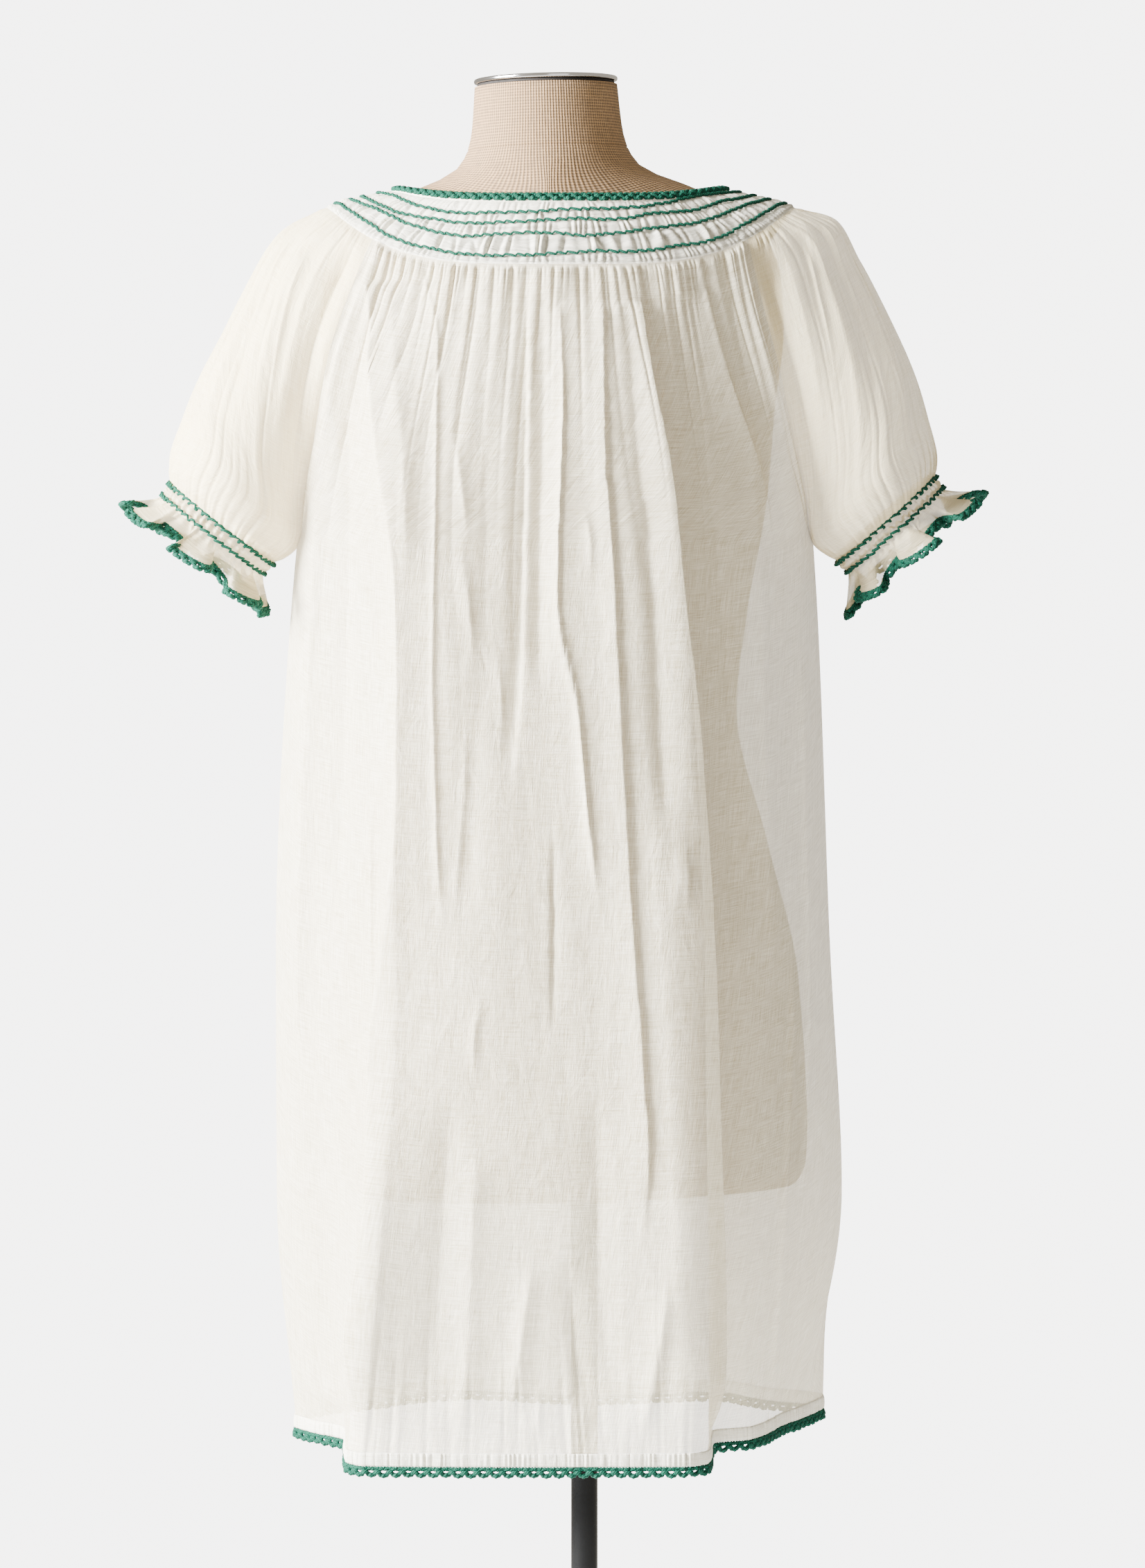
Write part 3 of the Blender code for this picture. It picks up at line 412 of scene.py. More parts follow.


# %% [markdown]
# ## Folds
#
# The cloth could be simulated, but the folds in the photograph come from its pleating and
# packing as much as from gravity. So each is a line down the cloth, listed one by one: where
# it runs, how wide each flank is, how high its crest stands, and where it fades. A steep
# flank beside a soft one gives the crisp dark lines. Distances are measured along the cloth.

# %% Fold lines of the back, in millimetres
# Each fold: height of its crest (a trough is negative), half widths of its left and right
# flanks, how quickly it fades at its ends, then (x, z) places that it passes, from the top.
# Two of the lines carry two folds each, whose flanks differ.
LEFT_EDGE_LINE = (
    (-160, 1346), (-151, 1279), (-130, 1070), (-130, 992), (-134, 884), (-144, 768),
    (-146, 669), (-158, 569), (-166, 490),
)
MIDDLE_LINE = ((-18, 1325), (-16, 1258), (-20, 1112), (-5, 1028), (3, 946), (14, 880))
BACK_FOLDS = (
    (14.0, 13.0, 46.0, 0.10, LEFT_EDGE_LINE),
    (4.5, 2.6, 11.0, 0.10, LEFT_EDGE_LINE),
    (2.3, 3.0, 1.6, 0.12, ((-119, 1352), (-106, 1300), (-106, 1195), (-107, 1070),
        (-105, 966), (-103, 905), (-97, 866))),
    (-4.2, 16.0, 1.8, 0.12, ((-43, 1350), (-43, 1279), (-45, 1153), (-47, 1070), (-56, 972))),
    (3.0, 12.0, 1.6, 0.15, MIDDLE_LINE),
    (3.4, 3.0, 24.0, 0.15, MIDDLE_LINE),
    (4.0, 14.0, 1.7, 0.15, ((13, 1325), (15, 1212), (20, 1153), (24, 1070), (30, 954),
        (33, 902), (42, 776), (46, 704), (40, 630))),
    (14.0, 34.0, 2.4, 0.08, ((40, 1330), (49, 1267), (61, 1195), (68, 1112), (76, 1028),
        (78, 992), (84, 848), (87, 704), (90, 597), (88, 484))),
    (4.5, 12.0, 2.4, 0.20, ((88, 1340), (107, 1267), (124, 1216), (139, 1150))),
    (3.0, 2.0, 14.0, 0.18, ((154, 860), (153, 803), (147, 655), (136, 486))),
    (-2.2, 1.6, 3.4, 0.30, ((-23, 955), (-23, 880), (-24, 790))),
    (4.0, 7.0, 7.0, 0.30, ((-38, 640), (-41, 608), (-54, 520))),
    (4.5, 9.0, 6.0, 0.30, ((60, 625), (56, 587), (38, 492))),
    (-3.5, 8.0, 8.0, 0.30, ((-12, 640), (-10, 611), (0, 520))),
    (2.4, 5.0, 2.2, 0.25, ((-157, 960), (-155, 900), (-154, 800))),
    (-2.5, 16.0, 10.0, 0.15, ((-76, 1330), (-74, 1250), (-72, 1150), (-80, 980), (-86, 860))),
    (1.6, 2.2, 1.5, 0.30, ((-84, 1020), (-88, 950), (-94, 880))),
    (-5.5, 9.0, 9.0, 0.15, ((-30, 1335), (-30, 1250), (-33, 1150), (-34, 1040))),
    (-6.0, 10.0, 10.0, 0.15, ((30, 1330), (36, 1240), (46, 1150), (52, 1050), (58, 930))),
    (-7.0, 16.0, 18.0, 0.12, ((70, 1335), (84, 1240), (100, 1150), (110, 1000), (112, 860))),
    (5.0, 14.0, 9.0, 0.20, ((-140, 1340), (-134, 1280), (-126, 1200), (-122, 1120))),
    (-4.5, 12.0, 14.0, 0.15, ((-178, 1290), (-176, 1180), (-180, 1020), (-186, 860))),
    (4.5, 12.0, 10.0, 0.15, ((-196, 1210), (-200, 1090), (-208, 930), (-212, 760))),
    (4.0, 9.0, 12.0, 0.20, ((-150, 700), (-152, 620), (-176, 500))),
    (-4.0, 14.0, 14.0, 0.20, ((-96, 760), (-104, 640), (-112, 520))),
    (3.5, 10.0, 10.0, 0.20, ((-78, 720), (-82, 620), (-88, 500))),
    (-4.0, 14.0, 14.0, 0.20, ((8, 760), (10, 640), (20, 520))),
    (4.5, 9.0, 13.0, 0.20, ((118, 1240), (128, 1120), (132, 960), (138, 820))),
    (2.5, 3.6, 12.0, 0.20, ((160, 1090), (163, 960), (166, 800), (162, 640))),
)
# Shorter creases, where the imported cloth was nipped: the same columns
BACK_CREASES = (
    (2.2, 3.5, 3.5, 0.40, ((-205, 1120), (-196, 1108), (-184, 1104))),
    (2.0, 3.0, 4.0, 0.40, ((-96, 1240), (-90, 1200), (-84, 1150))),
    (2.2, 4.0, 3.0, 0.40, ((-92, 1150), (-84, 1110), (-80, 1060))),
    (1.8, 3.0, 3.0, 0.40, ((-66, 1070), (-60, 1040), (-62, 1000))),
    (2.0, 3.0, 3.0, 0.40, ((-2, 1180), (4, 1150), (2, 1120))),
    (2.4, 3.5, 3.5, 0.40, ((62, 930), (70, 905), (66, 885))),
    (2.2, 3.5, 3.5, 0.40, ((72, 935), (64, 905), (60, 880))),
    (2.0, 3.0, 3.0, 0.40, ((-72, 830), (-80, 790), (-78, 760))),
    (2.0, 4.0, 3.0, 0.40, ((-30, 540), (-34, 520), (-32, 502))),
    (2.2, 3.0, 4.0, 0.40, ((-160, 1210), (-150, 1160), (-146, 1120))),
)
# A fold whose line starts above UNDER_YOKE comes out of the smocking. It is there after
# YOKE_START, at YOKE_SHARE of its height, and has its whole height after YOKE_DEEPENING.
UNDER_YOKE = 1300.0
YOKE_START = 8.0
YOKE_SHARE = 0.4
YOKE_DEEPENING = 110.0


def fold_relief(table, points, run):
    """Sum of bells beside each line: height * exp(-(distance / half width)^1.35).

    The line's place is first found as a distance along the cloth in every row that it
    crosses, run being those distances. It fades in and out over a share of its length,
    but a fold that comes out of the yoke is there at once and deepens on its way down.
    """
    x, z = points[..., 0] / MM, points[..., 2] / MM
    total = np.zeros(x.shape)
    for height, left, right, fade, line in table:
        line_x, line_z = np.array(line, float).T
        drop = line_z[0] - z
        off = np.abs(x - between(line_z[0] - line_z, line_x, drop))
        here = np.argmin(off, axis=1)[:, None]
        distance = (run - np.take_along_axis(run, here, axis=1)) / MM
        length = line_z[0] - line_z[-1]
        start = smoothstep(drop / (fade * length))
        if line_z[0] > UNDER_YOKE:
            start = smoothstep(drop / YOKE_START) * partly(YOKE_SHARE, drop / YOKE_DEEPENING)
        window = start * smoothstep((1 - drop / length) / fade)
        total += height * window * bell(distance, left, right)
    return total * MM


# %% [markdown]
# The front isn't in the photograph, so it gets folds of the same kind: uneven in length,
# depth and spacing, and a little fewer, because the front hangs freer.

# %% Fold lines of the front, in millimetres
FRONT_FOLDS = (
    (6.0, 6.0, 18.0, 0.12, ((112, 1310), (126, 1200), (136, 1040), (140, 860), (142, 700),
        (146, 500))),
    (-6.0, 14.0, 12.0, 0.15, ((88, 1310), (98, 1190), (106, 1030), (112, 820))),
    (6.0, 5.0, 14.0, 0.15, ((66, 1305), (70, 1180), (74, 1040), (70, 900), (68, 720))),
    (-5.0, 12.0, 10.0, 0.15, ((44, 1300), (46, 1180), (50, 1020), (48, 860))),
    (5.5, 12.0, 5.0, 0.12, ((18, 1300), (16, 1180), (22, 1010), (26, 830), (32, 640),
        (34, 500))),
    (-6.0, 14.0, 15.0, 0.12, ((-10, 1300), (-8, 1160), (-4, 1000), (-2, 800), (0, 600))),
    (5.0, 9.0, 9.0, 0.15, ((-38, 1302), (-40, 1200), (-36, 1060), (-44, 900))),
    (-4.5, 10.0, 9.0, 0.20, ((-62, 1305), (-66, 1180), (-68, 1020), (-72, 880))),
    (6.5, 5.0, 17.0, 0.12, ((-90, 1310), (-96, 1180), (-100, 1000), (-102, 820),
        (-106, 640), (-110, 500))),
    (-5.5, 14.0, 14.0, 0.15, ((-122, 1310), (-132, 1180), (-140, 1000), (-142, 800))),
    (5.0, 14.0, 6.0, 0.18, ((-150, 1300), (-164, 1180), (-172, 1000), (-176, 840))),
    (4.5, 8.0, 12.0, 0.20, ((-196, 1170), (-204, 1020), (-208, 860), (-206, 700))),
    (4.0, 9.0, 7.0, 0.25, ((96, 760), (94, 640), (100, 500))),
    (-3.5, 8.0, 8.0, 0.25, ((62, 680), (60, 600), (64, 500))),
    (3.5, 6.0, 8.0, 0.30, ((-40, 700), (-44, 610), (-40, 510))),
    (-3.5, 8.0, 9.0, 0.30, ((-66, 660), (-72, 580), (-70, 505))),
    (4.0, 8.0, 6.0, 0.25, ((-150, 720), (-152, 620), (-148, 500))),
    (4.0, 7.0, 9.0, 0.20, ((162, 1150), (172, 1000), (176, 840), (178, 700))),
)
FRONT_CREASES = (
    (2.0, 3.0, 4.0, 0.40, ((30, 1180), (22, 1140), (20, 1100))),
    (2.2, 3.5, 3.5, 0.40, ((-54, 1130), (-60, 1080), (-58, 1040))),
    (2.0, 4.0, 3.0, 0.40, ((84, 930), (92, 890), (94, 850))),
    (2.2, 3.0, 4.0, 0.40, ((-20, 760), (-26, 720), (-22, 680))),
)

# %% [markdown]
# ## Back and front
#
# Above the folds, the cloth is drawn up into the smocking. Its gathers are about 5 mm
# apart and uneven, and die out over the next few centimetres. Each is a sine across the
# cloth whose phase wanders, so that no two are alike.

# %% Build the back and the front
# Columns, and rows above and below the arm level: the side in the photograph is finer
BACK_GRID = (580, 80, 74)
FRONT_GRID = (380, 66, 62)
# Three sizes of gathers under the yoke: pitch, height and reach along the cloth
GATHERS = (
    (5.2 * MM, 0.80 * MM, 0.012),
    (10.5 * MM, 1.30 * MM, 0.050),
    (23.0 * MM, 1.20 * MM, 0.130),
)
# The same above the hem, where its casing draws the cloth up a little
HEM_GATHERS = (
    (6.5 * MM, 0.90 * MM, 0.011),
    (17.0 * MM, 1.10 * MM, 0.040),
)
FOLD_STRENGTH = 0.95
CRINKLE_HEIGHT = 0.10 * MM
PACKING_Z = 0.790
PACKING_HEIGHT = 1.3 * MM
# Half widths of the packing crease's lower and upper flank, in mm
PACKING_FLANKS = (7.0, 1.8)
# The relief grows from nothing over these distances from a side seam and from the yoke,
# and from HEM_SHARE of itself over the last one above the hem
SEAM_FLAT = 9.0 * MM
YOKE_FLAT = 6.0 * MM
HEM_FLAT = 30.0 * MM
HEM_SHARE = 0.35
# The raglan seams' ridge: height, distance from the edge, flanks in mm, and its fade
SEAM_RIDGE = 2.6 * MM
SEAM_RIDGE_PLACE = 7.0 * MM
SEAM_RIDGE_FLANKS = (2.2, 6.0)
SEAM_RIDGE_FADE = 40.0 * MM


def panel_levels(upper_rows, lower_rows):
    """Rows down a panel: closer together under the yoke, as level = t^1.6."""
    upper = np.linspace(0.0, 1.0, upper_rows) ** 1.6
    lower = 1.0 + np.linspace(0.0, 3.0, lower_rows)[1:]
    return np.concatenate([upper, lower])


def gathers(grain, down, seed, pitch, height, reach):
    """height * (1 - 2 (1 - |sin(pi grain / pitch + wander)|)^2.4) * exp(-(down / reach)^1.3).

    Round ridges between narrow valleys. The grain is the distance across the cloth at its
    gathered edge, so the ridges follow the threads. Heights and reaches are uneven.
    """
    phase = math.pi * grain / pitch + 0.9 * wander(seed, grain, (7, 19, 37))
    phase = phase + 0.25 * wander(seed + 1, grain + 0.1 * down, (9, 23)) * down / reach
    uneven = 1.0 + 0.30 * wander(seed + 2, grain, (23, 41, 67))
    far = reach * np.clip(1.0 + 0.45 * wander(seed + 3, grain, (29, 53, 89)), 0.25, 2.2)
    ridge = 1 - 2 * (1 - np.abs(np.sin(phase))) ** 2.4
    return height * uneven * ridge * np.exp(-((down / far) ** 1.3))


def packing_crease(z, run, seed):
    """A shallow sharp step across the cloth, left by its folding for storage."""
    line = PACKING_Z + 7 * MM * wander(seed, run, (1.6, 3.1, 7.0))
    strength = 0.6 + 0.5 * wander(seed + 1, run, (3.0, 8.0))
    return PACKING_HEIGHT * strength * bell((z - line) / MM, *PACKING_FLANKS)


def crinkle(grain, down, seed):
    """Low uneven relief of washed cotton, long down the cloth and short across it."""
    drift = grain + 0.0025 * wander(seed + 5, down, (2, 5))
    streak = wander(seed, drift, (23, 39, 61, 97))
    other = wander(seed + 2, drift, (17, 47, 71))
    blend = 0.5 + 0.5 * np.sin(TAU * 1.7 * down + 3 * wander(seed + 1, drift, (3, 7)))
    return CRINKLE_HEIGHT * (streak * blend + other * (1 - blend))


def make_panel(name, rows, grid, tables, first_side, seed):
    """Outline, then folds, gathers, crinkle and the packing crease along its normals."""
    share = np.linspace(0.0, 1.0, grid[0])
    base = hung_panel(rows, panel_levels(*grid[1:]), share, first_side)
    run, down = lengths(base, 1), lengths(base, 0)
    edge = np.minimum(run, run[:, -1:] - run)
    grain = run[:1]
    relief = FOLD_STRENGTH * sum(fold_relief(table, base, run) for table in tables)
    for step, (pitch, height, reach) in enumerate(GATHERS):
        relief = relief + gathers(grain, down, seed + 4 * step, pitch, height, reach)
    for pitch, height, reach in HEM_GATHERS:
        relief = relief + gathers(run[-1:], down[-1:] - down, seed + 33, pitch, height, reach)
    relief = relief + packing_crease(base[..., 2], run, seed + 17)
    relief = relief + crinkle(grain, down, seed + 21)
    relief = relief * smoothstep(down / YOKE_FLAT)
    seam = bell((edge - SEAM_RIDGE_PLACE) / MM, *SEAM_RIDGE_FLANKS)
    above_arm = smoothstep((base[..., 2] - LEVEL_HEIGHTS[0]) / SEAM_RIDGE_FADE)
    relief = relief + SEAM_RIDGE * seam * above_arm
    above_hem = base[..., 2] - LEVEL_HEIGHTS[-1]
    relief = relief * smoothstep(edge / SEAM_FLAT) * partly(HEM_SHARE, above_hem / HEM_FLAT)
    points = base - grid_normals(base) * relief[..., None]
    return put_grid(name, points, uv=np.stack([run, -down], -1), flip=True), points


back, back_points = make_panel(
    "back_voile", BACK_ROWS, BACK_GRID, (BACK_FOLDS, BACK_CREASES), -1, 41
)
front, front_points = make_panel(
    "front_voile", FRONT_ROWS, FRONT_GRID, (FRONT_FOLDS, FRONT_CREASES), 1, 73
)

# %% [markdown]
# ## Sleeves
#
# A raglan sleeve is a flat piece gathered at both ends, so it puffs in between. Its folds
# fan out from the yoke, and finer puckers run up from the cuff.

# %% Build the sleeves
SLEEVE_GRID = (116, 290)
# Long soft folds over a sleeve: height and half widths in mm, then how far round it is at
# the yoke, in the middle and at the cuff, and where along the sleeve it starts and ends
SLEEVE_FOLDS = (
    (-9.0, 7.0, 9.0, 0.055, 0.055, 0.060, 0.02, 0.85),
    (3.2, 7.0, 12.0, 0.12, 0.12, 0.12, 0.00, 0.80),
    (-3.0, 8.0, 8.0, 0.17, 0.16, 0.15, 0.05, 0.70),
    (3.6, 6.0, 12.0, 0.23, 0.22, 0.19, 0.00, 0.95),
    (-3.4, 8.0, 7.0, 0.29, 0.28, 0.26, 0.05, 0.85),
    (3.0, 5.0, 10.0, 0.35, 0.34, 0.33, 0.10, 0.98),
    (-2.6, 8.0, 8.0, 0.40, 0.40, 0.41, 0.00, 0.70),
    (3.2, 7.0, 9.0, 0.46, 0.46, 0.46, 0.00, 0.60),
    (-2.4, 7.0, 9.0, 0.53, 0.52, 0.50, 0.10, 0.80),
    (3.0, 8.0, 8.0, 0.60, 0.60, 0.58, 0.05, 0.90),
    (-3.2, 9.0, 8.0, 0.67, 0.68, 0.69, 0.00, 0.80),
    (3.6, 9.0, 6.0, 0.74, 0.75, 0.77, 0.00, 0.95),
    (-3.0, 8.0, 8.0, 0.81, 0.82, 0.84, 0.05, 0.75),
    (3.0, 10.0, 6.0, 0.88, 0.88, 0.90, 0.00, 0.85),
    (3.0, 1.7, 2.6, 0.20, 0.17, 0.15, 0.12, 0.66),
    (-2.6, 1.7, 2.2, 0.26, 0.24, 0.21, 0.28, 0.62),
    (2.8, 2.6, 1.7, 0.33, 0.30, 0.26, 0.08, 0.52),
    (3.2, 1.7, 3.2, 0.41, 0.38, 0.36, 0.05, 0.90),
    (-2.4, 1.8, 1.8, 0.64, 0.64, 0.62, 0.20, 0.60),
    (3.0, 3.0, 1.8, 0.78, 0.78, 0.80, 0.10, 0.70),
)


SLEEVE_FOLD_STRENGTH = 0.6
# How far the folds' places differ between the sleeves, as a share round them
SLEEVE_DRIFT = 0.012
# A fold starts and ends over these shares of the sleeve
SLEEVE_START = 0.12
SLEEVE_END = 0.30
# The folds grow from nothing over these distances from the yoke and from the cuff
FOLD_FROM_YOKE = 20.0 * MM
FOLD_FROM_CUFF = 30.0 * MM
# Heights of the two sizes of gathers beside the body's, and reach at the yoke
SLEEVE_GATHERS = (0.9, 0.5)
YOKE_REACH = 0.8
# Pitch, height and reach at the cuff beside those
CUFF_GATHERS = (0.75, 1.5, 1.4)
# Next to the shirring the gathers are pressed down to this share, and rise again from
# the first distance over the second
CUFF_SHARE = 0.45
CUFF_PRESSED = (2.0 * MM, 8.0 * MM)


def sleeve_folds(along, across, width, seed):
    """Bells beside lines that run down the sleeve, as on the panels."""
    total = np.zeros(np.broadcast(along, across).shape)
    shift = SLEEVE_DRIFT * wander(seed, np.arange(len(SLEEVE_FOLDS)), (0.31, 0.17))
    for number, row in enumerate(SLEEVE_FOLDS):
        height, left, right, *line, start, end = row
        place = between((0.0, 0.5, 1.0), line, along) + shift[number]
        window = smoothstep((along - start) / SLEEVE_START)
        window = window * smoothstep((end - along) / SLEEVE_END)
        distance = (across - place) * width / MM
        total = total + height * window * bell(distance, left, right)
    return SLEEVE_FOLD_STRENGTH * total * MM


def sleeve_gathers(run, down, left, seed):
    """Gathers under the yoke, and closer and higher ones above the cuff."""
    total = 0.0
    closer, higher, further = CUFF_GATHERS
    start, rise = CUFF_PRESSED
    pressed = partly(CUFF_SHARE, (left - start) / rise)
    for step, (pitch, height, reach) in enumerate(GATHERS[:2]):
        height = height * SLEEVE_GATHERS[step]
        seed_here = seed + 4 * step
        total = total + gathers(run[:1], down, seed_here, pitch, height, YOKE_REACH * reach)
        total = total + pressed * gathers(
            run[-1:], left, seed_here + 20, closer * pitch, higher * height, further * reach
        )
    return total


def make_sleeve(name, side, seed):
    """Outline, then long folds, gathers at both ends and crinkle along its normals."""
    rows, columns = SLEEVE_GRID
    along = np.linspace(0.0, 1.0, rows)[:, None]
    across = np.linspace(0.0, 1.0, columns)[None, :]
    base = sleeve_point(side, along, across)
    run, down = lengths(base, 1), lengths(base, 0)
    width = run[:, -1:]
    left = down[-1:] - down
    relief = sleeve_folds(along, across, width, seed)
    relief = relief * smoothstep(down / FOLD_FROM_YOKE) * smoothstep(left / FOLD_FROM_CUFF)
    relief = relief + sleeve_gathers(run, down, left, seed)
    relief = relief + crinkle(across * float(width.max()), down, seed + 9)
    relief = relief * smoothstep(down / YOKE_FLAT)
    edge = np.minimum(run, width - run)
    seam = np.where(along < ARM_LEVEL, SEAM_FLAT, SEAM_FLAT / 2)
    relief = relief * smoothstep(edge / seam)
    points = base + side * -grid_normals(base) * relief[..., None]
    return put_grid(name, points, uv=np.stack([run, -down], -1), flip=side > 0)


sleeves = {
    side: make_sleeve(name, side, seed)
    for name, side, seed in (("sleeve_left_voile", -1, 101), ("sleeve_right_voile", 1, 131))
}


# %% [markdown]
# ## Smocked yoke
#
# The yoke is one long piece of cloth drawn up by four rows of green hand stitches. The
# thread pinches the pleats flat, and between two rows they swell and shift a little, so the
# relief is a row of pleats times a swelling that is lowest at each thread.

# %% Where the four rows run, in degrees round the yoke and share down it
ROWS_OF_STITCHES = (
    ((-180, 0.30), (-159, 0.29), (-122, 0.36), (-92, 0.29), (-66, 0.26), (-56, 0.20),
     (-35, 0.15), (-13, 0.24), (20, 0.30), (60, 0.27), (95, 0.31), (140, 0.27), (180, 0.30)),
    ((-180, 0.52), (-164, 0.53), (-122, 0.50), (-92, 0.44), (-74, 0.42), (-59, 0.36),
     (-43, 0.39), (-32, 0.34), (-16, 0.45), (30, 0.47), (90, 0.46), (150, 0.49), (180, 0.52)),
    ((-180, 0.70), (-149, 0.62), (-131, 0.65), (-117, 0.67), (-92, 0.61), (-85, 0.65),
     (-67, 0.59), (-47, 0.56), (-29, 0.56), (-13, 0.64), (45, 0.66), (120, 0.64), (180, 0.70)),
    ((-180, 0.86), (-148, 0.85), (-126, 0.90), (-107, 0.91), (-91, 0.88), (-71, 0.86),
     (-60, 0.83), (-47, 0.85), (-25, 0.81), (-4, 0.87), (50, 0.88), (110, 0.86), (180, 0.86)),
)
BAND_SHARE = 0.13
PLEATS = 150
# For each cell: how high its pleats stand, in mm, and how many of them run together
PLEAT_CELLS = ((0.45, 1.0), (1.0, 0.8), (1.1, 1.1), (1.9, 0.62), (0.9, 1.3))
PLEAT_GRID = (54, 1176)
ROW_UNEVENNESS = 0.008
# Where the yoke's lowest cell would end: a little past its seam
LAST_CELL_END = 1.06
# The pleats start a little above the band's lower edge, and die out above the seam
PLEAT_OVERLAP = 0.02
PLEAT_FADE = 0.05


def row_share(row, angle):
    """Share down the yoke of one row of stitches, with a small unevenness of its own."""
    degrees, share = np.array(ROWS_OF_STITCHES[row], float).T
    turn = (np.degrees(angle) + 180) % 360 - 180
    uneven = wander(200 + row, angle / TAU, (9, 16, 33))
    return between(degrees, share, turn) + ROW_UNEVENNESS * uneven


def smocking_relief(angle, share):
    """height * swelling * pleat for the cell between two rows, plus the whole swelling.

    pleat = 2 |cos(number angle / 2 + wander)|^0.7 - 1, and the wander changes with the
    place between the rows, so pleats lean, merge and part.
    """
    place = [np.full_like(angle, BAND_SHARE)]
    place += [row_share(row, angle) for row in range(len(ROWS_OF_STITCHES))]
    place += [np.full_like(angle, LAST_CELL_END)]
    relief = np.zeros(np.broadcast(angle, share).shape)
    turn = angle / TAU
    for cell, (height, number) in enumerate(PLEAT_CELLS):
        t = (share - place[cell]) / (place[cell + 1] - place[cell])
        inside = (t >= 0) & (t < 1)
        swell = np.sin(math.pi * np.clip(t, 0.0, 1.0)) ** 0.8
        phase = round(PLEATS * number) * angle / 2
        phase = phase + 1.3 * wander(230 + cell, turn, (11, 29, 53))
        lean = wander(240 + cell, turn, (17, 37, 71)) + 0.6 * wander(260 + cell, turn, (41, 83))
        phase = phase + 0.75 * lean * (t - 0.5)
        uneven = np.clip(1 + 0.45 * wander(250 + cell, turn, (23, 47, 79)), 0.15, 2.0)
        pleat = 2 * np.abs(np.cos(phase)) ** 0.7 - 1
        relief = relief + inside * height * (0.2 + 0.8 * swell) * uneven * pleat
        relief = relief + inside * 0.7 * swell
    return relief * MM


def smocking_normals(angle, share):
    """Outward normals of the plain yoke."""
    step = 1e-4
    across = yoke_point(angle + step, share) - yoke_point(angle - step, share)
    down = yoke_point(angle, share + step) - yoke_point(angle, share - step)
    return -unit(np.cross(across, down))


# %% Build the smocking
pleat_rows, pleat_columns = PLEAT_GRID
turn = np.arange(pleat_columns)[None, :] * TAU / pleat_columns - math.pi
share = np.linspace(BAND_SHARE - PLEAT_OVERLAP, 1.0, pleat_rows)[:, None]
relief = smocking_relief(turn, share) * smoothstep((1.0 - share) / PLEAT_FADE)
yoke_points = yoke_point(turn, share) + smocking_normals(turn, share) * relief[..., None]
yoke = put_grid("smocking_voile", yoke_points, closed=True, flip=True)

# %% [markdown]
# The stitches are thick cotton thread in stem stitch: each goes down at a slant over two
# or three pleats and comes back up in a small hook, so a row looks like a chain of dashes.

# %% Sew the four green rows
STITCH_LENGTH = 6.6 * MM
STITCH_SLANT = 1.05 * MM
STITCH_POINTS = 10
# The share of a stitch that goes down at a slant, before its hook
HOOK = 0.80
THREAD_RADIUS = 1.15 * MM
THREAD_LEAST = 0.76
YOKE_STITCH_LIFT = 1.60 * MM


def stitch_shape(t):
    """For t from 0 to 1 along a stitch: its slant from -1 to 1 and back, and thickness."""
    slant = np.where(t < HOOK, 2 * t / HOOK - 1, np.cos(math.pi * (t - HOOK) / (1 - HOOK)))
    bulge = np.sin(math.pi * np.clip(t / HOOK, 0, 1)) ** 0.6
    return slant, THREAD_LEAST + (1 - THREAD_LEAST) * bulge


def stitch_row(place, seed, lift):
    """A closed thread along a line of the surface. place(angle) is its share down it."""
    angle = np.arange(720) * TAU / 720 - math.pi
    count = round(loop_length(yoke_point(angle, place(angle))) / STITCH_LENGTH)
    points = count * STITCH_POINTS
    s = np.arange(points) / points
    s = s + 0.10 / count * wander(seed, s, (count / 3.1, count / 5.3))
    around = angle[0] + s * TAU
    slant, thick = stitch_shape((np.arange(points) / STITCH_POINTS) % 1.0)
    share = place(around)
    out = smocking_normals(around, share)
    down = unit(yoke_point(around, share + 0.01) - yoke_point(around, share - 0.01))
    path = yoke_point(around, share) + down * (slant * STITCH_SLANT)[:, None]
    path = path + out * (lift + 0.35 * MM * thick)[:, None]
    return tube(path, THREAD_RADIUS * thick, out)


yoke_stitches = put_rings("yoke_stitches", [
    stitch_row(lambda angle, row=row: row_share(row, angle), 300 + row, YOKE_STITCH_LIFT)
    for row in range(len(ROWS_OF_STITCHES))
])

# %% [markdown]
# ## Neck
#
# A smooth bound band, and on it a crochet braid: a chain with a row of small shells.
# Crochet is modelled as its yarns: a bumpy chain, and under it a yarn that swings down and
# up again, which leaves the eyelets open where the swing is deep enough.

# %% Band and crochet
BAND_SIDES = 10
STRAND_RADIUS = 1.15 * MM
CHAIN_PITCH = 4.6 * MM
CHAIN_POINTS = 9
CHAIN_PLACE = 1.3 * MM
ARCH_RADIUS = 1.85 * MM
ARCH_POINTS = 16
ARCH_HALF = 0.33
ARCH_FEET = 2.0 * MM


def put_band(name, top, down, out, height, thick, relief):
    """A closed casing: a rounded oblong of half sizes thick and height/2 along a loop.

    It goes out by |cos a|^0.55 and down by |sin a|^0.7, with the signs of cos and -sin.
    relief (sides x points) swells its outer side.
    """
    angle = np.arange(BAND_SIDES)[:, None] * TAU / BAND_SIDES
    middle = top + down * height / 2
    outside = np.clip(np.cos(angle), 0.0, 1.0)
    push = thick * signed_power(np.cos(angle), 0.55) + relief * outside
    fall = -signed_power(np.sin(angle), 0.7) * height / 2
    return put_rings(name, [middle + out * push[..., None] + down * fall[..., None]])


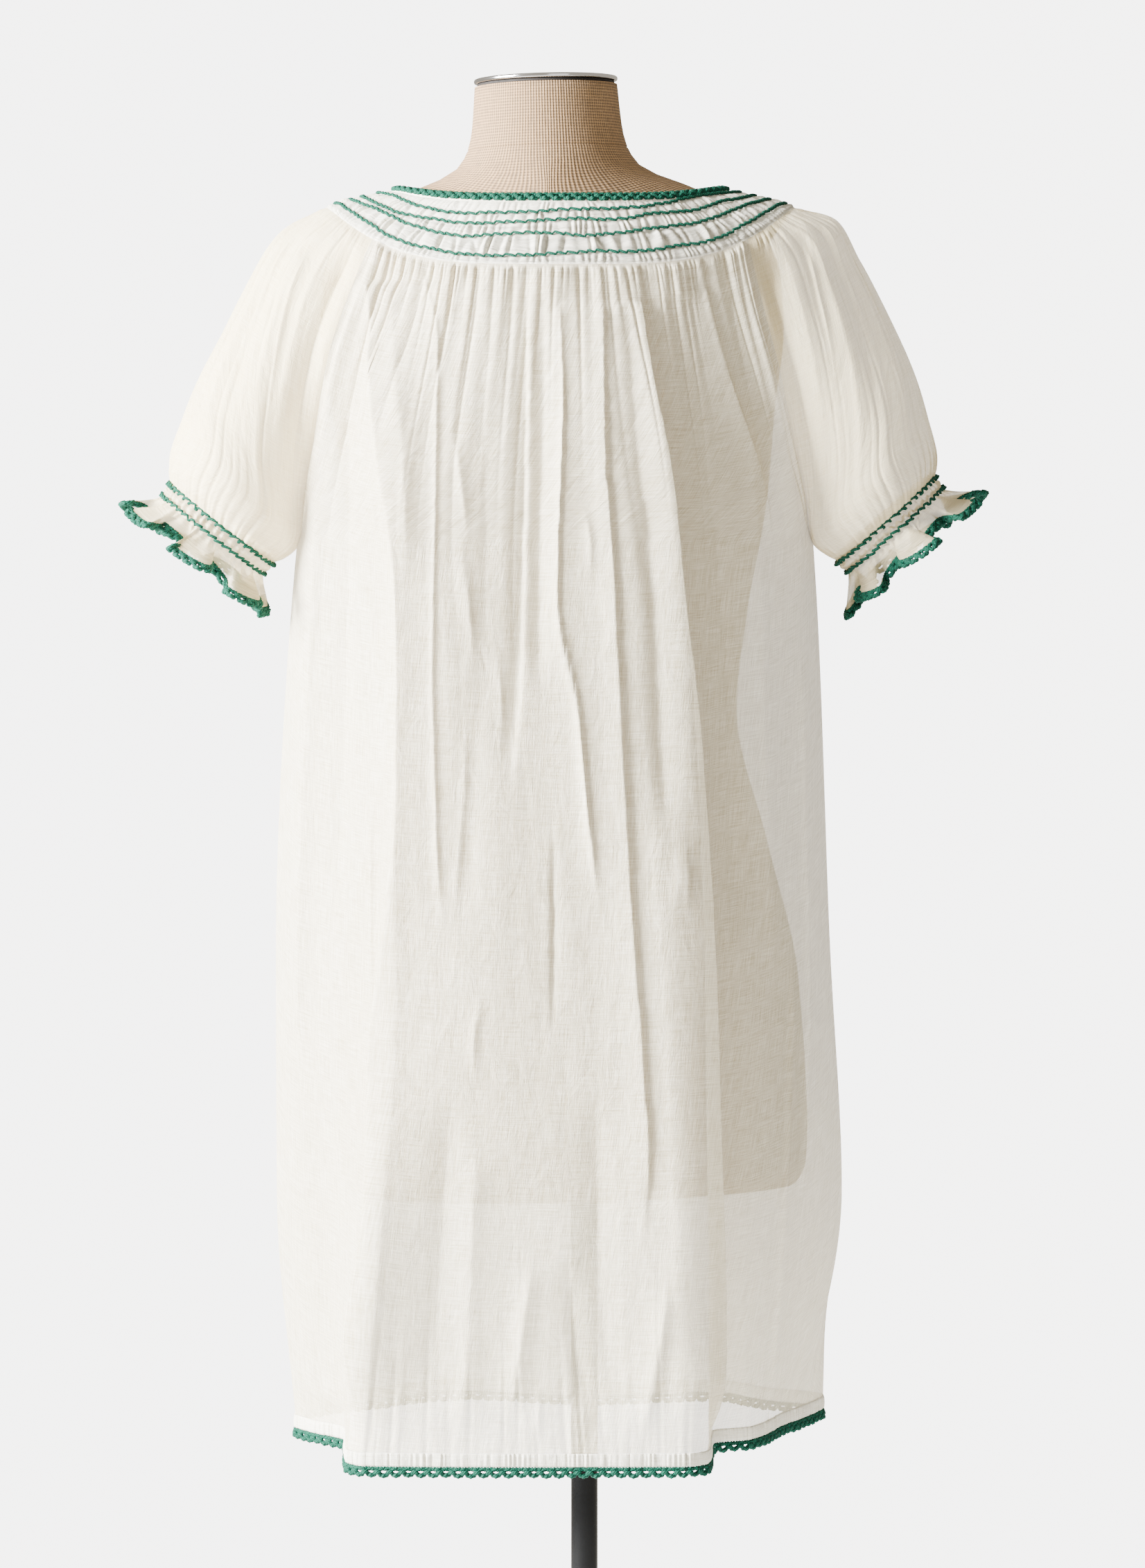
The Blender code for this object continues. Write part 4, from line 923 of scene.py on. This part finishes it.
def chain_strands(edge, down, out):
    """Two strands that cross each other as in a chain, at a depth below the edge.

    Strand k: down place + 0.62 mm cos(a + k pi), out 0.45 mm sin(2 a), where a goes once
    round in each pitch.
    """
    links = round(loop_length(edge) / CHAIN_PITCH)
    path, down, out = resampled(links * CHAIN_POINTS, edge, down, out)[1:]
    down, out = unit(down), unit(out)
    angle = TAU * np.arange(len(path))[:, None] / CHAIN_POINTS
    grids = []
    for turn in (0.0, math.pi):
        strand = path + down * (CHAIN_PLACE + 0.62 * MM * np.cos(angle + turn))
        strand = strand + out * 0.45 * MM * np.sin(2 * angle + turn)
        grids.append(tube(strand, STRAND_RADIUS, out, sides=5))
    return grids


def crochet(name, edge, down, out, pitch, depth):
    """Chain along an edge, and a yarn under it that hangs down in arches.

    Each arch goes from foot to foot as middle - 0.33 pitch cos(pi t), and hangs by
    sin(pi t)^0.4 times its drop. Its feet meet the next arch's, which leaves one small
    eyelet in the middle of each. depth is the height of the whole edging.
    """
    total = loop_length(edge)
    arches = round(total / pitch)
    run, *loops = resampled(arches * 60, edge, down, out)
    t = (np.arange(arches * ARCH_POINTS) % ARCH_POINTS + 0.5) / ARCH_POINTS
    number = np.arange(arches * ARCH_POINTS) // ARCH_POINTS
    place = (number + 0.5 - ARCH_HALF * np.cos(math.pi * t)) * total / arches % total
    path, low, high = (
        np.stack([np.interp(place, run, axis, period=total) for axis in loop.T], -1)
        for loop in loops
    )
    low, high = unit(low), unit(high)
    uneven = 1 + 0.05 * wander(9, number / arches, (arches / 3.3, arches / 7.1))
    swing = (depth - ARCH_RADIUS - ARCH_FEET) * (np.sin(math.pi * t) ** 0.4 * uneven)
    arch = path + low * (ARCH_FEET + swing)[:, None]
    arch = arch + high * (0.5 * MM * np.cos(TAU * 2 * t))[:, None]
    knot = 1 + 0.13 * np.cos(TAU * 4 * t)
    yarns = chain_strands(edge, down, out)
    return put_rings(name, yarns + [tube(arch, ARCH_RADIUS * knot, high)])


# %% Build the neck
NECK_STEPS = 900
NECK_BAND_HEIGHT = 7.2 * MM
NECK_BAND_HALF = 0.9 * MM
NECK_TUCKS = 240
# The braid lies this far outside the neckline and above it
BRAID_OUT = 1.9 * MM
BRAID_UP = 0.6 * MM
BRAID_PITCH = 8.3 * MM
EDGING_DEPTH = 7.6 * MM
loop_angle = np.arange(NECK_STEPS) * TAU / NECK_STEPS - math.pi
# The ways out and down are taken a little below the neckline
neck_line = yoke_point(loop_angle, 0.0)
neck_out = smocking_normals(loop_angle, np.full(NECK_STEPS, 0.06))
neck_down = unit(yoke_point(loop_angle, 0.12) - neck_line)
tuck = np.sin(NECK_TUCKS * loop_angle + 2 * wander(61, loop_angle / TAU, (5, 11)))
neck_band = put_band(
    "neck_band_voile", neck_line - neck_down * 0.2 * MM, neck_down, neck_out,
    NECK_BAND_HEIGHT, NECK_BAND_HALF, 0.25 * MM * tuck[None, :],
)
braid_line = neck_line + neck_out * BRAID_OUT - neck_down * BRAID_UP
neck_braid = crochet(
    "neck_braid_crochet", braid_line, neck_down, neck_out, BRAID_PITCH, EDGING_DEPTH
)

# %% [markdown]
# ## Cuffs
#
# Two rows of shirring draw the sleeve in, and what is left below stands out as a ruffle.
# A ruffle has more cloth at its edge than at its seam, so its waves grow towards the edge.

# %% Cuff shape
CUFF_COLUMNS = ("reach", "growth", "rib", "wave")
CUFF_ROWS = (
    (-0.0060, 0.0010, 0.0006, 0.0000),
    (0.0000, -0.0002, 0.0006, 0.0000),
    (0.0050, 0.0012, 0.0012, 0.0000),
    (0.0100, -0.0006, 0.0006, 0.0002),
    (0.0150, 0.0012, 0.0010, 0.0018),
    (0.0210, 0.0050, 0.0002, 0.0062),
    (0.0275, 0.0096, 0.0000, 0.0100),
    (0.0345, 0.0128, 0.0000, 0.0124),
)
CUFF_PLEATS = 46
RUFFLE_WAVES = 8
CUFF_START = -0.0045
RUFFLE_END = 0.0280
CUFF_GRID = (36, 420)


def cuff_frame(side):
    """Middle, outward way, sleeve's way and radius of the sleeve's end."""
    outer, seam = sleeve_point(side, 1.0, 0.5), sleeve_point(side, 1.0, 0.0)
    middle, radius = (outer + seam) / 2, float(np.linalg.norm(outer - seam)) / 2
    out = (outer - middle) / radius
    return middle, out, np.array([side * out[2], 0.0, -side * out[0]]), radius


def cuff_point(side, angle, reach):
    """Ring at a reach past the sleeve: radius + growth + rib cos(46 a) + wave ruffle(a).

    ruffle(a) is cos(8 a) + 0.4 cos(16 a), with phases that drift round the cuff. Its waves
    also lean along the arm and bend to the side, which makes them fold over.
    """
    middle, out, way, radius = cuff_frame(side)
    angle, reach = np.broadcast_arrays(np.asarray(angle, float), np.asarray(reach, float))
    got = {name: column(CUFF_ROWS, CUFF_COLUMNS, name, reach) for name in CUFF_COLUMNS[1:]}
    turn, waves = angle / TAU, RUFFLE_WAVES * angle
    rib = np.cos(CUFF_PLEATS * angle + 0.8 * wander(70 + side, turn, (7, 17)))
    ruffle = np.cos(waves + 0.5 * np.sin(2 * angle))
    ruffle = ruffle + 0.4 * np.cos(2 * waves + 2.6 * wander(72 + side, turn, (2, 3)))
    size = radius + got["growth"] + got["rib"] * rib + got["wave"] * ruffle
    lean = 0.45 * got["wave"] * np.sin(waves + 0.9)
    bend = 0.75 * got["wave"] / size * np.sin(2 * waves + np.sin(2 * angle))
    swing = np.cos(angle + bend)[..., None] * out
    swing = swing + np.sin(angle + bend)[..., None] * np.array([0.0, 1.0, 0.0])
    return middle + swing * size[..., None] + way * (reach + lean)[..., None]


def cuff_vectors(side, angle, reach):
    """Outward normal and downward direction of the cuff's surface."""
    step = 1e-4
    across = cuff_point(side, angle + step, reach) - cuff_point(side, angle - step, reach)
    down = cuff_point(side, angle, reach + step) - cuff_point(side, angle, reach - step)
    return side * -unit(np.cross(across, down)), unit(down)


# %% Build the cuffs
CUFF_STITCH_SLANT = 1.4 * MM
# The rows of stitches: how far past the sleeve's end, and how far above the cloth
CUFF_STITCH_ROWS = ((0.0012, 2.9 * MM), (0.0100, 2.0 * MM))
CUFF_STITCHES = round(TAU * 0.047 / STITCH_LENGTH)
CUFF_EDGING_PITCH = 8.6 * MM


def make_cuff(label, side):
    """Shirring and ruffle, two green rows, and the crochet on the ruffle's edge."""
    cuff_rows, steps = CUFF_GRID
    angle = np.arange(steps) * TAU / steps
    reach = np.linspace(CUFF_START, RUFFLE_END, cuff_rows)
    points = cuff_point(side, angle[None, :], reach[:, None])
    ruffle = put_grid(f"cuff_{label}_voile", points, closed=True, flip=side > 0)
    number = np.arange(CUFF_STITCHES * STITCH_POINTS)
    around = number / len(number) * TAU
    slant, thick = stitch_shape((number / STITCH_POINTS) % 1.0)
    rows = []
    for place, lift in CUFF_STITCH_ROWS:
        out = cuff_vectors(side, around, np.full(len(number), place))[0]
        path = cuff_point(side, around, place + slant * CUFF_STITCH_SLANT)
        path = path + out * (lift + 0.3 * MM * thick)[:, None]
        rows.append(tube(path, THREAD_RADIUS * thick, out))
    stitches = put_rings(f"cuff_{label}_stitches", rows)
    out, down = cuff_vectors(side, angle, np.full(steps, RUFFLE_END))
    edge = cuff_point(side, angle, RUFFLE_END - 0.6 * MM)
    edging = crochet(
        f"cuff_{label}_crochet", edge, down, out, CUFF_EDGING_PITCH, EDGING_DEPTH
    )
    return ruffle, stitches, edging


cuffs = {side: make_cuff(label, side) for label, side in (("left", -1), ("right", 1))}

# %% [markdown]
# ## Hem
#
# The hem is drawn up a little by a narrow casing, which puckers the cloth just above it.

# %% Build the hem
HEM_STEPS = 2400
HEM_HEIGHT = 10.0 * MM
HEM_HALF = 1.0 * MM
HEM_EDGING_PITCH = 9.2 * MM
HEM_EDGING_DEPTH = 7.8 * MM
# The casing's puckers: pitch and height
PUCKER_PITCH = 4.9 * MM
PUCKER_HEIGHT = 0.34 * MM
hem_loop = np.concatenate([back_points[-1][:-1], front_points[-1][:-1]])
print(f"the hem is {loop_length(hem_loop):.3f} m round")
run, hem_loop = resampled(HEM_STEPS, hem_loop)
hem_along = unit(np.roll(hem_loop, -1, axis=0) - np.roll(hem_loop, 1, axis=0))
hem_down = np.broadcast_to([0.0, 0.0, -1.0], hem_loop.shape)
hem_out = unit(np.cross(hem_along, -hem_down))
hem_loop = hem_loop * [1, 1, 0] + [0, 0, LEVEL_HEIGHTS[-1]]
puckers = np.sin(TAU * run / PUCKER_PITCH + 4.5 * wander(81, run, (11, 23, 41, 67)))
puckers = puckers * np.clip(1 + 0.9 * wander(83, run, (17, 31, 57, 83)), 0.0, 2.2)
hem_band = put_band(
    "hem_band_voile", hem_loop, hem_down, hem_out,
    HEM_HEIGHT, HEM_HALF, PUCKER_HEIGHT * puckers[None, :],
)
edging_line = hem_loop + hem_down * (HEM_HEIGHT + 0.2 * MM)
hem_edging = crochet(
    "hem_crochet", edging_line, hem_down, hem_out, HEM_EDGING_PITCH, HEM_EDGING_DEPTH
)

# %% [markdown]
# ## Dress form and stand
#
# The form is a light moulded torso under tight linen, so it is one smooth loft through
# level ovals, leaned a little on its pole. The pole, collar and base are turned shapes.

# %% Build the form
FORM_COLUMNS = ("height", "half", "back", "front", "roundness")
FORM_ROWS = (
    (1.4940, 0.0536, 0.0536, 0.0536, 2.00),
    (1.4600, 0.0568, 0.0560, 0.0560, 2.00),
    (1.4370, 0.0650, 0.0610, 0.0580, 1.90),
    (1.4250, 0.0830, 0.0640, 0.0575, 1.65),
    (1.4175, 0.1030, 0.0660, 0.0575, 1.50),
    (1.4076, 0.1240, 0.0690, 0.0580, 1.45),
    (1.3930, 0.1440, 0.0730, 0.0610, 1.50),
    (1.3780, 0.1600, 0.0790, 0.0680, 1.60),
    (1.3500, 0.1720, 0.0870, 0.0820, 1.80),
    (1.3100, 0.1740, 0.0930, 0.0970, 2.00),
    (1.2500, 0.1660, 0.0960, 0.1080, 2.00),
    (1.1800, 0.1580, 0.0940, 0.1080, 2.00),
    (1.0900, 0.1400, 0.0850, 0.0970, 2.00),
    (1.0200, 0.1310, 0.0790, 0.0930, 2.00),
    (0.9200, 0.1520, 0.0900, 0.0980, 2.00),
    (0.8200, 0.1720, 0.0970, 0.1010, 2.00),
    (0.7200, 0.1760, 0.0950, 0.0970, 2.00),
    (0.6800, 0.1740, 0.0920, 0.0930, 2.00),
    (0.6660, 0.1660, 0.0860, 0.0870, 2.00),
)
FORM_FOOT_X = -0.0072
FORM_LEAN = math.radians(1.5)
FORM_STEPS = 112
FORM_HEIGHTS = 110
NECK_SEAM_Z = 1.4465
NECK_SEAM_DEPTH = 0.7 * MM
NECK_SEAM_HALF = 0.9
NECK_SEAM_REACH = 4.0 * MM
NECK_SEAM_HEIGHTS = 17


def leaned(points):
    """Turns upright points about the middle of the form's underside, to the left."""
    foot = FORM_ROWS[-1][0]
    x, y, rise = points[..., 0], points[..., 1], points[..., 2] - foot
    sine, cosine = math.sin(FORM_LEAN), math.cos(FORM_LEAN)
    x, z = FORM_FOOT_X + x * cosine - rise * sine, foot + rise * cosine + x * sine
    return np.stack([x, y, z], axis=-1)


def weld(piece):
    """Merges the points of a pole, and turns every face outwards."""
    mesh = bmesh.new()
    mesh.from_mesh(piece.data)
    bmesh.ops.remove_doubles(mesh, verts=mesh.verts, dist=1e-6)
    bmesh.ops.recalc_face_normals(mesh, faces=mesh.faces)
    mesh.to_mesh(piece.data)
    mesh.free()
    return piece


def form_rings():
    """Ovals |x/a|^n + |y/b|^n = 1 at each height, closed by flat ends, with a neck seam."""
    upward = FORM_ROWS[::-1]
    height = np.unique(np.concatenate([
        np.linspace(upward[0][0], upward[-1][0], FORM_HEIGHTS),
        NECK_SEAM_Z + np.linspace(-NECK_SEAM_REACH, NECK_SEAM_REACH, NECK_SEAM_HEIGHTS),
    ]))[::-1]
    angle = np.arange(FORM_STEPS)[None, :] * TAU / FORM_STEPS
    size = {
        name: column(upward, FORM_COLUMNS, name, height)[:, None]
        for name in FORM_COLUMNS[1:]
    }
    power = 2 / size["roundness"]
    cosine = signed_power(np.cos(angle), power)
    sine = signed_power(np.sin(angle), power)
    from_seam = (height - NECK_SEAM_Z) / MM
    seam = NECK_SEAM_DEPTH * bell(from_seam, NECK_SEAM_HALF, NECK_SEAM_HALF)[:, None]
    x = (size["half"] - seam) * cosine
    y = (np.where(sine < 0, size["back"], size["front"]) - seam) * sine
    rings = np.stack([x, y, np.broadcast_to(height[:, None], x.shape)], axis=-1)
    ends = [rings[:1] * [k, k, 1] for k in (0.0, 0.5, 0.96)]
    feet = [rings[-1:] * [k, k, 1] for k in (0.97, 0.5, 0.0)]
    return leaned(np.concatenate(ends + [rings] + feet))


# The linen's upright threads keep the spacing that they have at the neck, of this radius
LINEN_RADIUS = 0.058
rings = form_rings()
linen_run = np.arange(FORM_STEPS + 1) * TAU / FORM_STEPS * LINEN_RADIUS
linen_drop = -lengths(np.concatenate([rings, rings[:, :1]], axis=1), 0)
linen_uv = np.stack([np.broadcast_to(linen_run, linen_drop.shape), linen_drop], -1)
form = weld(put_grid("form_linen", rings, closed=True, flip=True, uv=linen_uv))


# %% Build the cap and the stand
def turned(name, profile, lean=False, sides=96):
    """A profile of (radius, height) points, turned round the pole's or the form's axis."""
    radius, height = np.array(profile, float).T
    angle = np.arange(sides) * TAU / sides
    grid = np.stack([
        radius[:, None] * np.cos(angle),
        radius[:, None] * np.sin(angle),
        np.broadcast_to(height[:, None], (len(radius), sides)),
    ], axis=-1)
    return weld(put_grid(name, leaned(grid) if lean else grid, closed=True))


RIM_STEPS = 6


def rounded(radius, low, high, edge):
    """Profile of a disc whose rims are quarter circles: up its side from axis to axis."""
    turn = np.linspace(0, math.pi / 2, RIM_STEPS)
    under = np.c_[radius - edge + edge * np.sin(turn), low + edge - edge * np.cos(turn)]
    over = np.c_[radius - edge + edge * np.cos(turn), high - edge + edge * np.sin(turn)]
    return [(0.0, low), *under, *over, (0.0, high)]


neck_top = FORM_ROWS[0][0]
cap_ring = turned("cap_gap", rounded(0.0515, neck_top + 0.0003, neck_top + 0.0023, 0.0003), True)
cap = turned("cap_rim", rounded(0.0540, neck_top + 0.0026, neck_top + 0.0060, 0.0014), True)
base_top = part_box("stand_base")[1][2]
collar_low, collar_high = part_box("stand_collar")[0][2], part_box("stand_collar")[1][2]
pole_low, pole_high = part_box("stand_pole")[0][2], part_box("stand_pole")[1][2]
base = turned("base_plate", rounded(0.1900, 0.0, base_top, 0.0045), sides=160)
collar = turned("base_collar", rounded(0.0220, collar_low, collar_high, 0.0030))
pole = turned("pole_tube", rounded(0.0100, pole_low, pole_high, 0.0006), sides=64)

# %% [markdown]
# ## Materials
#
# Each starts from the real stuff. The cloth is voile: a plain weave of fine cotton, so
# loose that what is close behind it shows. Its threads are about 0.45 mm apart, too fine
# to show, so what the eye gets is slubs, the thicker stretches of single threads.


# %% Material helpers
def colour(code):
    """An sRGB hex colour as linear red, green, blue and alpha."""
    part = np.array([int(code[i : i + 2], 16) for i in (0, 2, 4)]) / 255
    linear = np.where(part <= 0.04045, part / 12.92, ((part + 0.055) / 1.055) ** 2.4)
    return (*linear.tolist(), 1.0)


def new_material(name, base, roughness, **settings):
    """A Principled material, with more of the shader's own sockets by name."""
    made = bpy.data.materials.new(name)
    made.use_nodes = True
    shader = made.node_tree.nodes["Principled BSDF"]
    shader.inputs["Base Color"].default_value = colour(base)
    shader.inputs["Roughness"].default_value = roughness
    for key, value in settings.items():
        shader.inputs[key.replace("_", " ")].default_value = value
    return made, shader


def node(material, kind, links=(), **settings):
    """Adds a node: settings by property or socket name, links as socket=output pairs."""
    made = material.node_tree.nodes.new(kind)
    for key, value in settings.items():
        if hasattr(made, key):
            setattr(made, key, value)
        else:
            made.inputs[key.replace("_", " ")].default_value = value
    for socket, output in links:
        material.node_tree.links.new(output, made.inputs[socket])
    return made


# %% Shader parts that the materials share
def cloth_place(made):
    """The place on the cloth in metres, from the UV map."""
    return node(made, "ShaderNodeUVMap", uv_map="cloth").outputs[0]


def stretched_noise(made, stretch, **settings):
    """Grey noise whose features are about 1 / stretch metres across and down the cloth."""
    links = [("Vector", cloth_place(made))]
    place = node(made, "ShaderNodeMapping", links, Scale=(*stretch, 1.0))
    links = [("Vector", place.outputs[0])]
    return node(made, "ShaderNodeTexNoise", links, Scale=1.0, **settings).outputs["Fac"]


def thread_waves(made, place, pitch, **settings):
    """Grey bands a pitch apart. The shader's own wave repeats 20 scale / tau times a metre."""
    links = [("Vector", place)]
    scale = TAU / 20 / pitch
    return node(made, "ShaderNodeTexWave", links, Scale=scale, **settings).outputs["Fac"]


def combined(made, operation, first, second):
    """Two grey values under one operation."""
    links = [(0, first), (1, second)]
    return node(made, "ShaderNodeMath", links, operation=operation).outputs[0]


def add_bumps(made, shader, *layers):
    """Bumps over each other, from (grey height, strength, size of a full step in metres)."""
    links = []
    for height, strength, step in layers:
        links = [("Height", height)] + links
        bump = node(made, "ShaderNodeBump", links, Strength=strength, Distance=step)
        links = [("Normal", bump.outputs[0])]
    made.node_tree.links.new(bump.outputs[0], shader.inputs["Normal"])


def grey_range(made, value, **ends):
    """A grey value, mapped from one range to another."""
    return node(made, "ShaderNodeMapRange", [("Value", value)], **ends).outputs[0]


def two_tones(made, shader, factor, dark, light):
    """Base colour that goes from dark to light with a grey factor."""
    mixed = node(made, "ShaderNodeMix", [("Factor", factor)], data_type="RGBA")
    mixed.inputs[6].default_value = colour(dark)
    mixed.inputs[7].default_value = colour(light)
    made.node_tree.links.new(mixed.outputs[2], shader.inputs["Base Color"])


# %% Voile and its heavier relatives
def voile(name, base, shade, alpha):
    """Cotton voile: two layers of stretched noise as slubs, soft crumple, uneven tone."""
    made, shader = new_material(
        name, base, 0.92, Alpha=alpha, Sheen_Weight=0.12, Sheen_Roughness=0.5,
        Specular_IOR_Level=0.25,
    )
    slubs = combined(made, "ADD", *(
        stretched_noise(made, stretch, Detail=3.0, Roughness=0.65)
        for stretch in ((1500.0, 45.0), (50.0, 1400.0))
    ))
    crumple = stretched_noise(made, (70.0, 34.0), Detail=4.0, Roughness=0.55, Distortion=0.6)
    add_bumps(made, shader, (slubs, 0.9, 0.0005), (crumple, 0.8, 0.0022))
    two_tones(made, shader, grey_range(made, slubs, From_Min=0.75, From_Max=1.25), shade, base)
    return made


body_voile = voile("cotton voile", "FAF3DE", "C4B898", 0.77)
# The sleeves' voile is creamier than the body's, and lighter: the added lightness is painted
# light, for the light that the sleeves catch.
sleeve_cloth = voile("cotton voile, creamier where it is doubled", "FFF3D0", "E5D3A4", 0.75)
gathered_voile = voile("cotton voile drawn up in pleats", "FAF8EC", "D8D2BE", 1.0)


# %% Green cotton yarn
def yarn(name, base, dark, twist_pitch):
    """Mercerised cotton: strands wind round the yarn, which gives fine slanted ridges."""
    made, shader = new_material(name, base, 0.75, Specular_IOR_Level=0.2)
    slanted = node(
        made, "ShaderNodeMapping", [("Vector", cloth_place(made))],
        Rotation=(0.0, 0.0, math.radians(38.0)),
    )
    strands = thread_waves(made, slanted.outputs[0], twist_pitch, Distortion=0.6, Detail=2.0)
    add_bumps(made, shader, (strands, 0.7, 0.0003))
    two_tones(made, shader, strands, dark, base)
    return made


green_yarn = yarn("green mercerised cotton yarn", "005743", "002A20", 1.3 * MM)


# %% Linen of the form
LINEN_PITCH = 2.2 * MM


def linen():
    """Coarse natural linen: threads 1 mm apart both ways, drawn twice as coarse to show.

    Two waves, one for each way of the weave, times stretched noise for thick and thin
    threads.
    """
    made, shader = new_material("natural linen, tightly covered", "C9AF92", 0.95)
    weave = combined(made, "ADD", *(
        combined(
            made, "MULTIPLY",
            thread_waves(
                made, cloth_place(made), LINEN_PITCH, bands_direction=way, Distortion=0.0
            ),
            stretched_noise(made, stretch, Detail=2.0),
        )
        for way, stretch in (("X", (420.0, 90.0)), ("Y", (90.0, 420.0)))
    ))
    add_bumps(made, shader, (weave, 0.9, 0.0007))
    tone = grey_range(made, weave, From_Min=0.15, From_Max=0.85)
    two_tones(made, shader, tone, "65533F", "AE8B64")
    return made


linen_cover = linen()


# %% Metals and paint
def speckled(made, shader, scale, low, high):
    """Uneven roughness from noise, as handling leaves on a polished surface."""
    links = [("Vector", node(made, "ShaderNodeTexCoord").outputs["Object"])]
    noise = node(made, "ShaderNodeTexNoise", links, Scale=scale, Detail=4.0)
    spread = grey_range(made, noise.outputs["Fac"], To_Min=low, To_Max=high)
    made.node_tree.links.new(spread, shader.inputs["Roughness"])
    return made


# Polished plating over the cap's rim, a little dulled by hands
chrome = speckled(*new_material("chromed steel rim", "CFCFD2", 0.15, Metallic=1.0), 60, 0.08, 0.22)
# Glossy black paint, baked on, as on the poles and bases of such stands
enamel = speckled(*new_material(
    "black stoving enamel on steel", "030508", 0.3, Specular_IOR_Level=0.35
), 40, 0.16, 0.26)
# A matt black ring under the cap, which gives the dark line between the cap's rim and the linen
gap_black = speckled(*new_material("matt black ring under the cap", "1A1512", 0.8), 200, 0.7, 0.95)

# %% Give each piece its material and body, and hide the frame's node that it replaces; the table also names a slot for each
PIECES = (
    (back, body_voile, "back", "voile"),
    (front, body_voile, "front", "voile"),
    (sleeves[-1], sleeve_cloth, "sleeve_left", "sleeve_voile"),
    (sleeves[1], sleeve_cloth, "sleeve_right", "sleeve_voile"),
    (yoke, gathered_voile, "smocked_yoke", "voile"),
    (yoke_stitches, green_yarn, None, "green_cotton"),
    (neck_band, gathered_voile, "neck_band", "voile"),
    (neck_braid, green_yarn, "neck_braid", "green_cotton"),
    (cuffs[-1][0], sleeve_cloth, "cuff_left", "sleeve_voile"),
    (cuffs[-1][1], green_yarn, None, "green_cotton"),
    (cuffs[-1][2], green_yarn, "cuff_edging_left", "green_cotton"),
    (cuffs[1][0], sleeve_cloth, "cuff_right", "sleeve_voile"),
    (cuffs[1][1], green_yarn, None, "green_cotton"),
    (cuffs[1][2], green_yarn, "cuff_edging_right", "green_cotton"),
    (hem_band, gathered_voile, "hem_band", "voile"),
    (hem_edging, green_yarn, "hem_edging", "green_cotton"),
    (form, linen_cover, "form_torso", "linen"),
    (cap_ring, gap_black, "neck_cap_ring", "dark_gap"),
    (cap, chrome, "neck_cap", "chrome"),
    (pole, enamel, "stand_pole", "black_paint"),
    (collar, enamel, "stand_collar", "black_paint"),
    (base, enamel, "stand_base", "black_paint"),
)
for piece, material, replaced, slot in PIECES:
    piece.data.materials.append(material)
    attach(piece, "root")
    if replaced:
        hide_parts(replaced)

# %% [markdown]
# ## Camera, light and floor
#
# The camera stands 3.9 m behind the dress, level, at the height of the upper back. Soft
# light from the left models the folds, and a pale surround fills the shadows.

# %% Camera
# The photo is 1652 x 2263 pixels, and a camera's sensor size counts for its longer side
PHOTO_HEIGHT = 2263
FOCAL_PIXELS = 7490
HORIZON_PIXEL = 750
SENSOR = 36.0
CAMERA_PLACE = (-0.0089, -3.9, 1.168)
lens = bpy.data.cameras.new("camera")
lens.sensor_width = SENSOR
lens.lens = FOCAL_PIXELS / PHOTO_HEIGHT * SENSOR
lens.shift_y = (HORIZON_PIXEL - PHOTO_HEIGHT / 2) / PHOTO_HEIGHT
camera = bpy.data.objects.new("camera", lens)
camera.location = CAMERA_PLACE
camera.rotation_euler = (math.radians(90), 0, 0)
bpy.context.scene.collection.objects.link(camera)
bpy.context.scene.camera = camera


# %% Lights
def soft_light(name, place, target, size, power):
    """A square area light that faces its target."""
    data = bpy.data.lights.new(name, "AREA")
    data.size, data.energy = size, power
    lamp = bpy.data.objects.new(name, data)
    lamp.location = place
    way = np.array(target) - np.array(place)
    lamp.rotation_euler = (
        math.acos(-way[2] / np.linalg.norm(way)), 0, math.atan2(-way[0], way[1])
    )
    bpy.context.scene.collection.objects.link(lamp)
    return lamp


MIDDLE = (0.0, 0.0, 1.0)
soft_light("window", (-2.2, -0.85, 1.8), MIDDLE, size=1.4, power=760)
soft_light("fill", (1.5, -4.0, 1.8), MIDDLE, size=2.4, power=32)

# %% Surround: bright where the camera sees it, dimmer and warmer where it lights the dress
world = bpy.data.worlds.new("studio")
world.use_nodes = True
bpy.context.scene.world = world
tree = world.node_tree
tree.nodes.clear()
mix = tree.nodes.new("ShaderNodeMixShader")
ray = tree.nodes.new("ShaderNodeLightPath")
tree.links.new(ray.outputs["Is Camera Ray"], mix.inputs[0])
for socket, code, strength in ((1, "F6ECD9", 0.72), (2, "F1F0EF", 6.6)):
    shade = tree.nodes.new("ShaderNodeBackground")
    shade.inputs["Color"].default_value = colour(code)
    shade.inputs["Strength"].default_value = strength
    tree.links.new(shade.outputs[0], mix.inputs[socket])
out = tree.nodes.new("ShaderNodeOutputWorld")
tree.links.new(mix.outputs[0], out.inputs["Surface"])

# %% Floor: a disc just under the base
FLOOR_RADIUS = 1.7
FLOOR_DROP = 0.5 * MM
floor_angle = np.arange(96) * TAU / 96
rim = np.stack([np.cos(floor_angle), np.sin(floor_angle), 0 * floor_angle], -1)
discs = np.stack([rim * 1.0 * MM, rim * FLOOR_RADIUS])
floor = put_grid("floor", discs - [0, 0, FLOOR_DROP], closed=True)
floor_paint, _ = new_material("pale matt floor", "F4F3F1", 0.9)
floor.data.materials.append(floor_paint)
